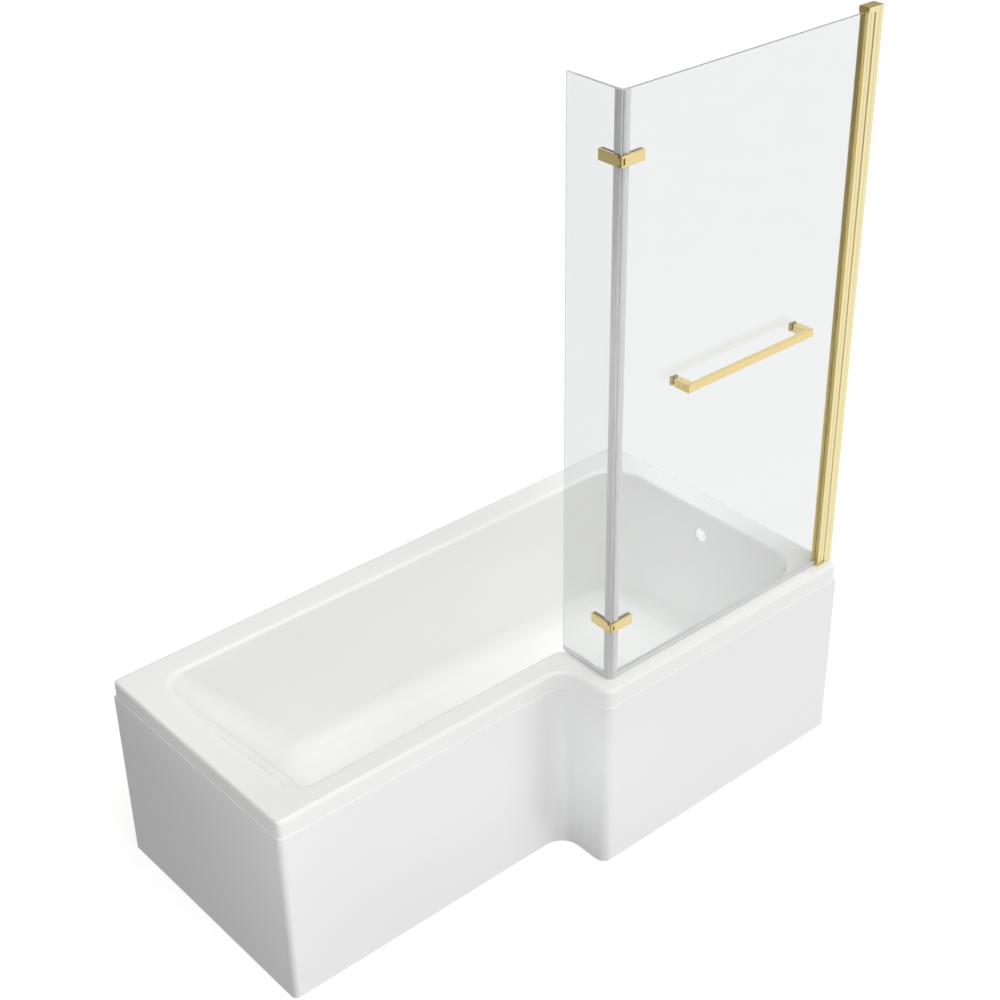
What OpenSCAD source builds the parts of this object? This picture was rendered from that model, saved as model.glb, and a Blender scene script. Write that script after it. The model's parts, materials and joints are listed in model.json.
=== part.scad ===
// L-shaped shower bath with its panels, frame, levelling feet and two-pane glass screen.
// All sizes are millimetres. x runs from the head end to the shower end, y from the front to the
// back wall and z up from the floor. The finished part stands with its box centred on z.

/* [Bath] */
// Length of the bath along the back wall
bath_l = 1700; // [1600:10:1800]
// Width of the bath at the shower end
wide_w = 850; // [800:5:900]
// How far the front steps back beside the head end
step_d = 150; // [120:5:180]
// Distance from the head end to the step in the front
step_x = 855; // [800:5:900]
// Height of the rim above the floor
rim_h = 543; // [530:1:600]
// Height of the lip that hangs from the rim's edge
lip_h = 48; // [40:1:56]
// Thickness of the moulded shell
shell_t = 5; // [4:0.5:6]
// Radius of the rim's top edge
rim_edge_r = 10; // [7:1:12]
// Radius of the rim's outer corners
corner_r = 14; // [12:1:20]
// Radius of the step's outer corner
step_corner_r = 25; // [18:1:32]
// Radius of the step's inner corner
step_fillet_r = 60; // [45:1:75]

/* [Basin] */
// Height of the basin's floor above the room's floor
basin_floor_z = 150; // [145:1:165]
// Width of the rim at the head end
rim_head_w = 70; // [66:1:90]
// Width of the rim along the back wall
rim_back_w = 80; // [72:1:95]
// Width of the rim at the shower end
rim_shower_w = 70; // [66:1:90]
// Width of the rim along the narrow front
rim_narrow_w = 62; // [60:1:75]
// Width of the rim along the wide front
rim_wide_w = 65; // [62:1:75]
// Width of the rim beside the step
rim_step_w = 59; // [57:1:70]
// How far the backrest leans in over the basin's depth
head_run = 280; // [220:5:320]
// How far the other walls lean in over the basin's depth
wall_run = 40; // [30:1:46]
// How far the wall of the shower end leans in
shower_run = 28; // [20:1:40]
// How far the head end's edge is bowed outwards
head_bow = 20; // [10:1:26]
// Height of the rounded edge between rim and walls
mouth_h = 10; // [8:1:12]
// Height of the rounded edge between walls and floor
floor_h = 45; // [35:1:55]
// Radius of the basin's corners at the back of the shower end
shower_corner_r = 100; // [80:5:120]
// Radius of the basin's corners at the head end
head_corner_r = 60; // [50:5:80]
// How much the corners open out towards the floor
corner_growth = 60; // [40:5:70]
// Radius of the basin's corners beside the step
basin_step_r = 45; // [35:1:55]

/* [Waste and overflow] */
// Diameter of the waste hole
waste_d = 52; // [46:0.5:58]
// Distance of the waste hole from the shower end
waste_inset = 220; // [200:5:260]
// Distance of the waste hole from the bath's wide front
waste_y = 400; // [390:5:430]
// Diameter of the overflow hole
overflow_d = 40; // [36:0.5:46]
// Depth of the overflow hole's centre below the rim
overflow_drop = 81; // [70:1:100]

/* [Panels and frame] */
// Thickness of the panels
panel_t = 4; // [3:0.5:5]
// How far the panels' faces stand out from the lip
panel_proud = 2; // [1:0.5:3]
// Width of the flange along the panels' top
flange_w = 23; // [18:1:26]
// Gap between the front panel and the end panel
panel_gap = 0.4; // [0.2:0.1:1]
// Width of the battens under the rim
batten_w = 34; // [30:1:35]
// Thickness of the battens on the floor
floor_batten_t = 19; // [15:1:22]
// Height of the battens on the floor
floor_batten_h = 38; // [30:1:44]
// Thickness of the base board
board_t = 18; // [15:1:22]
// Distance from the base board's edges to the edge of the flat floor
board_margin = 15; // [8:1:25]
// Distance from the ends of a front to its first clips
clip_inset = 100; // [70:5:130]
// Length of a panel clip
clip_l = 40; // [30:1:60]
// Thickness of a panel clip
clip_t = 4; // [3:0.5:5]

/* [Legs and feet] */
// Width of a leg bar
leg_bar_w = 40; // [34:1:50]
// Height of a leg bar
leg_bar_h = 20; // [18:1:25]
// Wall of a leg bar's tube
leg_bar_wall = 2; // [1.5:0.5:3]
// Distance from the head end to the first leg bar
first_leg_x = 480; // [460:5:520]
// Distance from the first leg bar to the middle one
middle_leg_run = 520; // [480:5:540]
// Distance from the first leg bar to the one by the waste
last_leg_run = 870; // [830:5:890]
// Distance from the front of the bath to the feet behind the front panel
front_foot_y = 52; // [50:1:60]
// Distance from the back wall to the feet there
back_foot_y = 50; // [46:1:60]
// How far a leg bar runs past its feet
bar_end = 22; // [18:1:24]
// Diameter of a foot's stud
stud_d = 12; // [10:1:14]
// How far a foot can be screwed in from where it stands
foot_travel = 30; // [20:1:35]
// Diameter of a foot's pad
pad_d = 50; // [40:1:54]
// Height of a foot's pad without its socket
pad_h = 10; // [8:1:14]
// Height of a nut
nut_h = 10; // [8:1:12]
// Width of a nut across its flats
nut_af = 19; // [17:1:22]
// Clearance of a running fit, on the radius
running_gap = 0.05; // [0.03:0.01:0.1]

/* [Wall brackets] */
// Distance from the bath's ends to the outer wall brackets
bracket_inset = 250; // [200:10:300]
// Width of a wall bracket
bracket_w = 46; // [40:1:60]
// Thickness of a wall bracket's steel
bracket_t = 2.5; // [2:0.5:3]
// Height of a wall bracket's upright leg
bracket_h = 50; // [40:1:60]
// Distance between the two wall holes of a bracket
bracket_pitch = 26; // [20:1:30]
// Diameter of the wall holes of brackets and wall channel
wall_hole_d = 5.5; // [4.5:0.5:6.5]

/* [Screen] */
// Thickness of the glass
glass_t = 6; // [5:0.5:8]
// Height of the glass
glass_h = 1470; // [1300:10:1500]
// Gap between the rim and the glass
glass_lift = 7; // [6:0.5:9]
// Distance from the rim's front edge to the fixed pane
glass_y = 34; // [30:1:36]
// Distance from the step to the return pane
return_inset = 44; // [38:1:46]
// Width of the return pane
return_w = 158; // [140:1:170]
// Gap between a pane's edge and the screen's corner
pane_gap = 10; // [9.5:0.5:11]
// Thickness of the soft sheets between metal and glass
gasket_t = 1; // [0.8:0.1:1.5]
// Thickness of the seals' walls
seal_t = 1.2; // [1:0.1:1.4]
// Depth of the corner seals over the glass
seal_grip = 12; // [8:0.5:14]
// Height of the drip seals over the glass
drip_grip = 6; // [4:0.5:8]

/* [Wall profile] */
// Depth of the wall channel, out from the wall
channel_l = 26; // [22:1:32]
// Thickness of the wall channel
channel_t = 1.8; // [1.5:0.1:2]
// How far the adjusting profile reaches out from the wall
profile_reach = 50; // [46:1:56]
// Length of the adjusting profile's section
profile_l = 42; // [38:1:44]
// Width of the adjusting profile
profile_w = 26; // [24:1:28]
// Wall of the adjusting profile
profile_t = 1.8; // [1.5:0.1:2]
// Depth of the glass slot in the adjusting profile
slot_l = 32; // [28:1:33]
// Thickness of the glazing gasket
glazing_t = 1.5; // [1.2:0.1:2]
// Gap between the wall channel and the adjusting profile
slide_gap = 0.2; // [0.1:0.05:0.3]
// Height of the cap on top of the wall profile
top_cap_h = 13; // [10:1:16]
// Height of the cap at the wall profile's foot
foot_cap_h = 6; // [5:0.5:8]
// Distance between the outermost wall holes of the channel
channel_pitch = 1300; // [1200:10:1320]
// Distance between the inner wall holes of the channel
channel_inner_pitch = 440; // [400:10:480]

/* [Hinges] */
// Length of a hinge leaf from the screen's corner
leaf_l = 64; // [58:1:70]
// Height of a hinge
hinge_h = 26; // [24:1:30]
// Thickness of a hinge's leaves
leaf_t = 4.5; // [4:0.5:5]
// Diameter of a hinge pin
pin_d = 5; // [4:0.5:6]
// Height of the return leaf's knuckle
knuckle_h = 14; // [12:1:16]
// Gap between two knuckles
knuckle_gap = 0.2; // [0.1:0.1:0.4]
// Gap between a barrel and the other leaf's plate
barrel_gap = 2; // [1:0.5:2.5]
// Distance from the ends of the glass to the hinges' centres
hinge_inset = 150; // [120:5:200]
// Distance from the screen's corner to a leaf's first screw
hinge_screw_inset = 23; // [21:0.5:25]
// Distance between the two screws of a leaf
hinge_screw_pitch = 25; // [20:0.5:28]
// Diameter of a hinge screw
hinge_screw_d = 5; // [4:0.5:5]

/* [Towel rail] */
// Length of the towel rail
rail_l = 424; // [380:2:480]
// Distance from the screen's corner to the rail's end
rail_inset = 182; // [170:2:200]
// Height of the rail's centre above the glass's lower edge
rail_lift = 744; // [650:2:850]
// Width of the rail's square section
rail_w = 20; // [16:1:24]
// Depth of the bar, front to back
rail_bar_d = 10; // [8:1:14]
// Distance from the glass to the rail's front face
rail_reach = 46.5; // [44:0.5:60]
// Depth of the pads inside the glass
rail_pad_d = 10; // [8:1:14]
// Diameter of the rail's studs
rail_stud_d = 6; // [5:0.5:8]

/* [Hidden] */

white = [0.95, 0.95, 0.94];
brass = [0.80, 0.70, 0.42];
steel = [0.62, 0.64, 0.66];
timber = [0.78, 0.63, 0.43];
chipboard = [0.72, 0.60, 0.44];
clear = [0.80, 0.88, 0.88, 0.35];
soft_grey = [0.45, 0.47, 0.48];
black = [0.12, 0.12, 0.13];

round_fn = 48;      // facets of screws, studs and bores
corner_fn = 96;     // facets of large vertical corners
corner_steps = 10;  // steps round one corner of a moulded outline
edge_steps = 5;     // steps over a rounded edge
eps = 0.01;

lip_z = rim_h - lip_h;
basin_depth = rim_h - basin_floor_z;
board_z = basin_floor_z - shell_t - board_t;
bar_z = board_z - leg_bar_h;
head_slope = head_run / basin_depth;
wall_slope = wall_run / basin_depth;
shower_slope = shower_run / basin_depth;

// How far a rounded edge of height h, that turns a level face into a wall of this slope, lies off the
// wall's plane. c runs from 1 where the edge is level to 0 where it meets the wall.
function edge_shift(h, c, slope) =
    let (s = sin(atan(slope)), r = h / (1 - s), level = s + (1 - s) * c)
    r * (sqrt(1 - s * s) - sqrt(1 - level * level)) - h * c * slope;

flat_x0 = rim_head_w + head_run + edge_shift(floor_h, 1, head_slope);
flat_y0 = step_d + rim_narrow_w + wall_run + edge_shift(floor_h, 1, wall_slope);
flat_y1 = wide_w - rim_back_w - wall_run - edge_shift(floor_h, 1, wall_slope);

// The part's own middle, from the outermost faces
rail_front_y = glass_y - rail_reach;
mid_x = (bath_l - panel_proud) / 2;
mid_y = (wide_w + rail_front_y) / 2;
module placed() translate([-mid_x, -mid_y, 0]) children();

/* The moulded bath */

function unit(v) = v / norm(v);
function turned(v, a) = [v[0] * cos(a) - v[1] * sin(a), v[0] * sin(a) + v[1] * cos(a)];

// Points round the corner at b between the edges towards a and c, evenly spaced where they are in line
function round_corner(a, b, c, r) =
    let (u = unit(a - b), v = unit(c - b), n = corner_steps)
    abs(cross(u, v)) < 0.001 ?
        [for (i = [0:n]) b + v * r * (2 * i / n - 1)] :
        let (half = acos(u * v) / 2, centre = b + unit(u + v) * r / sin(half),
            start = b + u * r / tan(half) - centre, end = b + v * r / tan(half) - centre,
            sweep = (180 - 2 * half) * sign(cross(start, end)))
        [for (i = [0:n]) centre + turned(start, sweep * i / n)];

function round_outline(p, r) =
    let (n = len(p))
    [for (i = [0:n - 1]) each round_corner(p[(i + n - 1) % n], p[i], p[(i + 1) % n], r[i])];

// Corners of an L: head front, step inside, step outside, shower front, shower back, head back, head middle
function l_corners(xh, xs, xe, yn, yw, yb, bow) =
    [[xh + bow, yn], [xs, yn], [xs, yw], [xe, yw], [xe, yb], [xh + bow, yb], [xh, (yn + yb) / 2]];

// Outline of the rim, d inside its outer faces
function rim_outline(d) = round_outline(
    l_corners(d, step_x + d, bath_l - d, step_d + d, d, wide_w - d, 0),
    [corner_r - d, step_fillet_r + d, step_corner_r - d, corner_r - d, corner_r - d, corner_r - d, 100]);

// Outline of the basin at height z, moved t out into the rim and by the shift of a rounded edge of height h
function basin_outline(z, t, h, c) =
    let (k = (rim_h - z) / basin_depth, wall = wall_run * k, grow = corner_growth * k,
        d = t + edge_shift(h, c, wall_slope))
    round_outline(
        l_corners(rim_head_w + head_run * k - t - edge_shift(h, c, head_slope),
            step_x + rim_step_w + wall - d,
            bath_l - rim_shower_w - shower_run * k + t + edge_shift(h, c, shower_slope),
            step_d + rim_narrow_w + wall - d,
            rim_wide_w + wall - d, wide_w - rim_back_w - wall + d, head_bow),
        [head_corner_r + grow + d, basin_step_r - d, basin_step_r + grow + d,
            shower_corner_r + grow + d, shower_corner_r + grow + d, head_corner_r + grow + d, 900]);

// One face of the shell as rings [outline, height] from the floor to the lip, t behind the show face
function shell_rings(t) = concat(
    [for (i = [edge_steps:-1:0]) let (a = 90 * i / edge_steps, z = basin_floor_z + floor_h * (1 - sin(a)))
        [basin_outline(z, t * cos(a), -floor_h, sin(a)), z - t * sin(a)]],
    [for (i = [edge_steps:-1:0]) let (a = 90 * i / edge_steps, z = rim_h - mouth_h * (1 - cos(a)))
        [basin_outline(z, t * sin(a), mouth_h, cos(a)), z - t * cos(a)]],
    [for (i = [0:edge_steps]) let (a = 90 * i / edge_steps, r = rim_edge_r - t)
        [rim_outline(t + r * (1 - sin(a))), rim_h - t - r * (1 - cos(a))]],
    [[rim_outline(t), lip_z]]);

// A closed solid through rings of equal length
module loft(rings) {
    n = len(rings[0][0]);
    m = len(rings);
    points = [for (ring = rings, p = ring[0]) [p[0], p[1], ring[1]]];
    sides = [for (k = [0:m - 2], i = [0:n - 1])
        let (j = (i + 1) % n, a = k * n, b = a + n)
        each [[a + i, b + i, b + j], [a + i, b + j, a + j]]];
    polyhedron(points, concat([[for (i = [0:n - 1]) i]], sides, [[for (i = [n - 1:-1:0]) (m - 1) * n + i]]));
}

waste_x = bath_l - waste_inset;
overflow_y = wide_w / 2;
overflow_x = bath_l - rim_shower_w - shower_run * overflow_drop / basin_depth;
overflow_tilt = atan(shower_run / basin_depth);

module bath_shell() placed() color(white) difference() {
    show_face = shell_rings(0);
    back_face = shell_rings(shell_t);
    loft(concat(show_face, [for (i = [len(back_face) - 1:-1:0]) back_face[i]]));
    translate([waste_x, waste_y, basin_floor_z - 2 * shell_t])
        cylinder(h = 3 * shell_t, d = waste_d, $fn = corner_fn);
    translate([overflow_x, overflow_y, rim_h - overflow_drop]) rotate([0, 90 + overflow_tilt, 0])
        cylinder(h = 4 * shell_t, d = overflow_d, center = true, $fn = corner_fn);
}

/* Board, battens and brackets under the bath */

leg_x = [first_leg_x, first_leg_x + middle_leg_run, first_leg_x + last_leg_run];
leg_front = [step_d + front_foot_y, front_foot_y, front_foot_y];
foot_back = wide_w - back_foot_y;
leg_screw_d = 5;
leg_screw_run = 60;     // from a bar's middle to its screws, to each side
leg_screw_bite = 12;    // how far a screw goes into the board
board_x0 = flat_x0 + board_margin;
board_x1 = leg_x[2] + leg_bar_w / 2;
board_mid_y = (flat_y0 + flat_y1) / 2;

module each_leg_screw() for (x = leg_x, s = [-1, 0, 1])
    translate([x, board_mid_y + s * leg_screw_run * 2, 0]) children();

module base_board() placed() color(chipboard) difference() {
    translate([board_x0, flat_y0 + board_margin, board_z])
        cube([board_x1 - board_x0, flat_y1 - flat_y0 - 2 * board_margin, board_t]);
    each_leg_screw() translate([0, 0, board_z - eps])
        cylinder(h = leg_screw_bite + 1, d = leg_screw_d + 2 * running_gap, $fn = round_fn);
}

seat_gap = 0.3;             // between a batten and the curve inside the lip
batten_edge = rim_edge_r + seat_gap;
batten_in = batten_edge + corner_r;     // from a corner of the rim to the end of a batten
batten_end = batten_edge + batten_w;
wide_batten_x = step_x + step_corner_r + batten_edge;
batten_h = lip_h - shell_t;
screw_gap = 0.3;            // from a screw's tip to the bottom of its hole
bracket_x = [bracket_inset, bath_l / 2, bath_l - bracket_inset];
bracket_screw_d = 4;
bracket_screw_l = 16;
bracket_screw_y = wide_w - batten_edge - batten_w / 2;

module batten(x, y, l, w) translate([x, y, lip_z]) cube([l, w, batten_h]);

module rim_battens() placed() color(timber) difference() {
    union() {
        batten(batten_in, step_d + batten_edge, step_x - step_fillet_r - batten_in, batten_w);
        batten(wide_batten_x, batten_edge, bath_l - batten_in - wide_batten_x, batten_w);
        batten(batten_in + batten_w, wide_w - batten_end, bath_l - 2 * (batten_in + batten_w), batten_w);
        batten(batten_edge, step_d + batten_in + batten_w, batten_w,
            wide_w - step_d - 2 * (batten_in + batten_w));
    }
    each_bracket_screw() cylinder(h = bracket_screw_l + screw_gap,
        d = bracket_screw_d + 2 * running_gap, $fn = round_fn);
    each_clip() translate([0, clip_screw_y, lip_z - eps])
        cylinder(h = clip_screw_l + screw_gap, d = clip_screw_d + 2 * running_gap, $fn = round_fn);
}

module each_bracket() for (x = bracket_x) translate([x, wide_w, 0]) children();
module each_bracket_screw() for (x = bracket_x, s = [-1, 1])
    translate([x + s * bracket_pitch / 2, bracket_screw_y, lip_z - eps]) children();

module wall_brackets() placed() color(steel) each_bracket() difference() {
    union() {
        translate([-bracket_w / 2, -bracket_t, lip_z - bracket_h]) cube([bracket_w, bracket_t, bracket_h]);
        translate([-bracket_w / 2, -batten_end, lip_z - bracket_t]) cube([bracket_w, batten_end, bracket_t]);
    }
    for (s = [-1, 1]) {
        translate([s * bracket_pitch / 2, eps, lip_z - bracket_h / 2 - bracket_t]) rotate([90, 0, 0])
            cylinder(h = bracket_t + 2 * eps, d = wall_hole_d, $fn = round_fn);
        translate([s * bracket_pitch / 2, bracket_screw_y - wide_w, lip_z - bracket_t - eps])
            cylinder(h = bracket_t + 2 * eps, d = bracket_screw_d + 2 * running_gap, $fn = round_fn);
    }
}

module bracket_screws() placed() color(steel) each_bracket_screw() {
    cylinder(h = bracket_screw_l, d = bracket_screw_d, $fn = round_fn);
    translate([0, 0, -bracket_t - bracket_screw_d / 2])
        cylinder(h = bracket_screw_d / 2, d = bracket_screw_d * 2, $fn = round_fn);
    translate([0, 0, -bracket_t - eps]) cylinder(h = bracket_t + 2 * eps, d = bracket_screw_d, $fn = round_fn);
}

/* Panels */

// The bath's footprint, d inside the rim's outer faces at the front and the head end
module footprint(d) {
    rc = max(corner_r - d, 1);
    rs = max(step_corner_r - d, 1);
    rf = step_fillet_r + d;
    translate([d + rc, step_d + d]) square([bath_l, wide_w]);
    translate([d, step_d + d + rc]) square([bath_l, wide_w]);
    translate([d + rc, step_d + d + rc]) circle(rc, $fn = corner_fn);
    translate([step_x + d + rs, d]) square([bath_l, wide_w]);
    translate([step_x + d, d + rs]) square([bath_l, wide_w]);
    translate([step_x + d + rs, d + rs]) circle(rs, $fn = corner_fn);
    difference() {
        translate([step_x + d - rf, step_d + d - rf]) square([rf + eps, rf + eps]);
        translate([step_x + d - rf, step_d + d - rf]) circle(rf, $fn = corner_fn);
    }
}

// A band w wide along the front and the head end, starting d inside the rim's outer faces
module front_band(d, w) difference() {
    footprint(d);
    footprint(d + w);
}

// A band along the front as far as the break beside the head end's corner, cut off at the wall
panel_break_y = step_d + corner_r;
module front_strip(w) intersection() {
    difference() {
        front_band(-panel_proud, w);
        translate([-2 * panel_proud, panel_break_y]) square([flange_w + 2 * panel_t, wide_w]);
    }
    translate([-panel_proud, -panel_proud]) square([bath_l + panel_proud, wide_w]);
}

module front_panel() placed() color(white) {
    linear_extrude(lip_z) front_strip(panel_t);
    translate([0, 0, lip_z - panel_t]) linear_extrude(panel_t) front_strip(panel_t + flange_w);
}

module end_panel() placed() color(white) {
    y0 = panel_break_y + panel_gap;
    y1 = step_d + flange_end + panel_gap;
    translate([-panel_proud, y0, 0]) cube([panel_t, wide_w - y0, lip_z]);
    translate([-panel_proud, y1, lip_z - panel_t]) cube([panel_t + flange_w, wide_w - y1, panel_t]);
}

clip_narrow_x = [for (i = [0:2]) clip_inset + i * (step_x - step_fillet_r - 2 * clip_inset) / 2];
clip_wide_x = [for (i = [0:2]) step_x + clip_inset + i * (bath_l - step_x - 2 * clip_inset) / 2];
flange_end = panel_t - panel_proud + flange_w;
clip_screw_d = 4;
clip_screw_l = 14;
clip_screw_y = (flange_end + batten_end) / 2;
module each_clip() {
    for (x = clip_narrow_x) translate([x, step_d, 0]) children();
    for (x = clip_wide_x) translate([x, 0, 0]) children();
}

// A clip is a step under the rim's batten that holds up the panel's flange, with its screw
module panel_clips() placed() color(black) each_clip() {
    difference() {
        translate([-clip_l / 2, shell_t, lip_z - panel_t - clip_t])
            cube([clip_l, batten_end - shell_t, panel_t + clip_t]);
        translate([-clip_l, 0, lip_z - panel_t]) cube([2 * clip_l, flange_end + screw_gap, 2 * panel_t]);
    }
    translate([0, clip_screw_y, lip_z - eps]) cylinder(h = clip_screw_l, d = clip_screw_d, $fn = round_fn);
}

module floor_battens() placed() color(timber) {
    d = panel_t - panel_proud;
    t = floor_batten_t;
    wide_x = step_x + d + step_corner_r;
    translate([batten_in, step_d + d, 0]) cube([step_x - step_fillet_r - batten_in, t, floor_batten_h]);
    translate([wide_x, d, 0]) cube([bath_l - wide_x, t, floor_batten_h]);
    translate([d, step_d + d + t + corner_r, 0])
        cube([t, wide_w - step_d - d - t - corner_r, floor_batten_h]);
}

/* Leg bars and levelling feet */

module leg_bar(i) {
    y0 = leg_front[i] - bar_end;
    difference() {
        translate([leg_x[i] - leg_bar_w / 2, y0, bar_z])
            cube([leg_bar_w, foot_back + bar_end - y0, leg_bar_h]);
        translate([leg_x[i] - leg_bar_w / 2 + leg_bar_wall, y0 - eps, bar_z + leg_bar_wall])
            cube([leg_bar_w - 2 * leg_bar_wall, foot_back + bar_end - y0 + 2 * eps,
                leg_bar_h - 2 * leg_bar_wall]);
        for (y = [leg_front[i], foot_back]) translate([leg_x[i], y, bar_z - eps])
            cylinder(h = leg_bar_h + 2 * eps, d = stud_d + 2 * running_gap, $fn = round_fn);
        each_leg_screw() translate([0, 0, bar_z - eps])
            cylinder(h = leg_bar_h + 2 * eps, d = leg_screw_d + 2 * running_gap, $fn = round_fn);
    }
}

module leg_bar_head() placed() color(steel) leg_bar(0);
module leg_bar_middle() placed() color(steel) leg_bar(1);
module leg_bar_waste() placed() color(steel) leg_bar(2);

module leg_bar_screws() placed() color(steel) each_leg_screw() {
    translate([0, 0, bar_z]) cylinder(h = leg_bar_h + leg_screw_bite, d = leg_screw_d, $fn = round_fn);
    translate([0, 0, bar_z - leg_screw_d / 2])
        cylinder(h = leg_screw_d / 2, d = leg_screw_d * 2, $fn = 6);
}

foot_xy = [for (i = [0:2], y = [leg_front[i], foot_back]) [leg_x[i], y]];
stud_z0 = pad_h;
stud_z1 = bar_z + leg_bar_h + nut_h + foot_travel;
socket_h = 12;
socket_wall = 5;

// Nuts above and below the bar lock each stud in its place
module foot_nuts() placed() color(steel) for (p = foot_xy, z = [bar_z - nut_h, bar_z + leg_bar_h])
    translate([p[0], p[1], z]) difference() {
        cylinder(h = nut_h, d = nut_af / cos(30), $fn = 6);
        translate([0, 0, -eps]) cylinder(h = nut_h + 2 * eps, d = stud_d + 2 * running_gap, $fn = round_fn);
    }

module foot_stud(i) placed() color(steel) translate([foot_xy[i][0], foot_xy[i][1], stud_z0])
    cylinder(h = stud_z1 - stud_z0, d = stud_d, $fn = round_fn);

module foot_pad(i) placed() color(black) translate([foot_xy[i][0], foot_xy[i][1], 0]) difference() {
    union() {
        cylinder(h = pad_h * 0.6, d = pad_d, $fn = round_fn);
        translate([0, 0, pad_h * 0.6])
            cylinder(h = pad_h * 0.4, d1 = pad_d, d2 = stud_d + 4 * socket_wall, $fn = round_fn);
        cylinder(h = pad_h + socket_h, d = stud_d + 2 * socket_wall, $fn = round_fn);
    }
    translate([0, 0, pad_h]) cylinder(h = socket_h + eps, d = stud_d + 2 * running_gap, $fn = round_fn);
}

module foot_stud_1() foot_stud(0);
module foot_stud_2() foot_stud(1);
module foot_stud_3() foot_stud(2);
module foot_stud_4() foot_stud(3);
module foot_stud_5() foot_stud(4);
module foot_stud_6() foot_stud(5);
module foot_pad_1() foot_pad(0);
module foot_pad_2() foot_pad(1);
module foot_pad_3() foot_pad(2);
module foot_pad_4() foot_pad(3);
module foot_pad_5() foot_pad(4);
module foot_pad_6() foot_pad(5);

/* Wall profile */

glass_z0 = rim_h + glass_lift;
glass_z1 = glass_z0 + glass_h;
profile_top = glass_z1 + top_cap_h;
glass_mid_y = glass_y + glass_t / 2;
profile_x0 = bath_l - profile_reach;
channel_w = profile_w + 2 * (slide_gap + channel_t);
channel_mid_z = (rim_h + profile_top) / 2;
slot_w = glass_t + 2 * glazing_t;
fixed_end_x = profile_x0 + slot_l - glazing_t;
groove = 0.5;
lock_z = [glass_z0 + hinge_inset, (glass_z0 + glass_z1) / 2, glass_z1 - hinge_inset];
lock_d = 4;
lock_y = glass_mid_y + channel_w / 2;
lock_inset = 16;        // from the wall to the screws that lock the profile
lock_x = bath_l - lock_inset;

module channel_section() difference() {
    translate([bath_l - channel_l, glass_mid_y - channel_w / 2]) square([channel_l, channel_w]);
    translate([bath_l - channel_l - eps, glass_mid_y - channel_w / 2 + channel_t])
        square([channel_l - channel_t + eps, channel_w - 2 * channel_t]);
    translate([bath_l - channel_l / 2, glass_mid_y - channel_w / 2 - eps]) square([2 * groove, groove + eps]);
}

module wall_channel() placed() color(brass) difference() {
    translate([0, 0, rim_h]) linear_extrude(profile_top - rim_h - channel_t) channel_section();
    for (z = [-channel_pitch, -channel_inner_pitch, channel_inner_pitch, channel_pitch] / 2)
        translate([bath_l - channel_t - eps, glass_mid_y, channel_mid_z + z]) rotate([0, 90, 0])
            cylinder(h = channel_t + 2 * eps, d = wall_hole_d, $fn = round_fn);
    for (z = lock_z) translate([lock_x, lock_y + eps, z]) rotate([90, 0, 0])
        cylinder(h = channel_t + 2 * eps, d = lock_d + 2 * running_gap, $fn = round_fn);
}

module channel_cap() placed() color(brass)
    translate([bath_l - channel_l, glass_mid_y - channel_w / 2, profile_top - channel_t])
        cube([channel_l, channel_w, channel_t]);

// A box section with a deep slot for the glass in its outer end
module profile_section() difference() {
    translate([profile_x0, glass_mid_y - profile_w / 2]) square([profile_l, profile_w]);
    translate([profile_x0 - eps, glass_mid_y - slot_w / 2]) square([slot_l + eps, slot_w]);
    for (s = [0, 1]) mirror([0, s]) translate([0, (1 - 2 * s) * glass_mid_y])
        translate([profile_x0 + profile_t, slot_w / 2 + profile_t])
            square([profile_l - 2 * profile_t, (profile_w - slot_w) / 2 - 2 * profile_t]);
    translate([profile_x0 + profile_l / 4, glass_mid_y - profile_w / 2 - eps]) square([2 * groove, groove + eps]);
}

profile_z0 = rim_h + foot_cap_h;
module adjusting_profile() placed() color(brass) difference() {
    translate([0, 0, profile_z0]) linear_extrude(glass_z1 - profile_z0) profile_section();
    for (z = lock_z) translate([lock_x, lock_y, z]) rotate([90, 0, 0])
        cylinder(h = channel_w / 2 - slot_w / 2 - profile_t, d = lock_d + 2 * running_gap, $fn = round_fn);
}

cap_l = profile_reach - channel_l;
module profile_top_cap() placed() color(brass)
    translate([profile_x0, glass_mid_y - channel_w / 2, glass_z1]) cube([cap_l, channel_w, top_cap_h]);
module profile_foot_cap() placed() color(brass)
    translate([profile_x0, glass_mid_y - channel_w / 2, rim_h]) cube([cap_l, channel_w, foot_cap_h]);

module profile_screws() placed() color(brass) for (z = lock_z) translate([lock_x, lock_y, z]) rotate([90, 0, 0]) {
    cylinder(h = channel_t + slide_gap + profile_t, d = lock_d, $fn = round_fn);
    translate([0, 0, -lock_d / 2]) cylinder(h = lock_d / 2, d = lock_d * 2, $fn = round_fn);
}

module glazing_gasket() placed() color(clear)
    translate([profile_x0, glass_mid_y - slot_w / 2, profile_z0]) difference() {
        cube([slot_l, slot_w, glass_z1 - profile_z0]);
        translate([-eps, glazing_t, glass_z0 - profile_z0])
            cube([slot_l - glazing_t + eps, glass_t, glass_h + eps]);
    }

/* Screen. Each pane is drawn in its own frame: u along the pane from the screen's outer corner,
   v through the glass from its outer face. The return pane's frame is the fixed one's mirror image. */

corner_x = step_x + return_inset;
module on_fixed_pane() placed() translate([corner_x, glass_y, 0]) children();
module on_return_pane() placed() translate([corner_x, glass_y, 0]) mirror([1, -1, 0]) children();

barrel_r = leaf_t;
pin_v = -gasket_t - leaf_t + barrel_r;
plate_u = pin_v + barrel_r + barrel_gap;
clamp_v = glass_t + gasket_t;
clamp_u = clamp_v + leaf_t + barrel_gap;
hinge_z = [glass_z0 + hinge_inset, glass_z1 - hinge_inset];
hinge_screw_u = [hinge_screw_inset, hinge_screw_inset + hinge_screw_pitch];
hinge_hole_d = 12;
pane_end_u = fixed_end_x - corner_x;
rail_u = [rail_inset + rail_w / 2, rail_inset + rail_l - rail_w / 2];
rail_z = glass_z0 + rail_lift;
rail_hole_d = 12;

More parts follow.
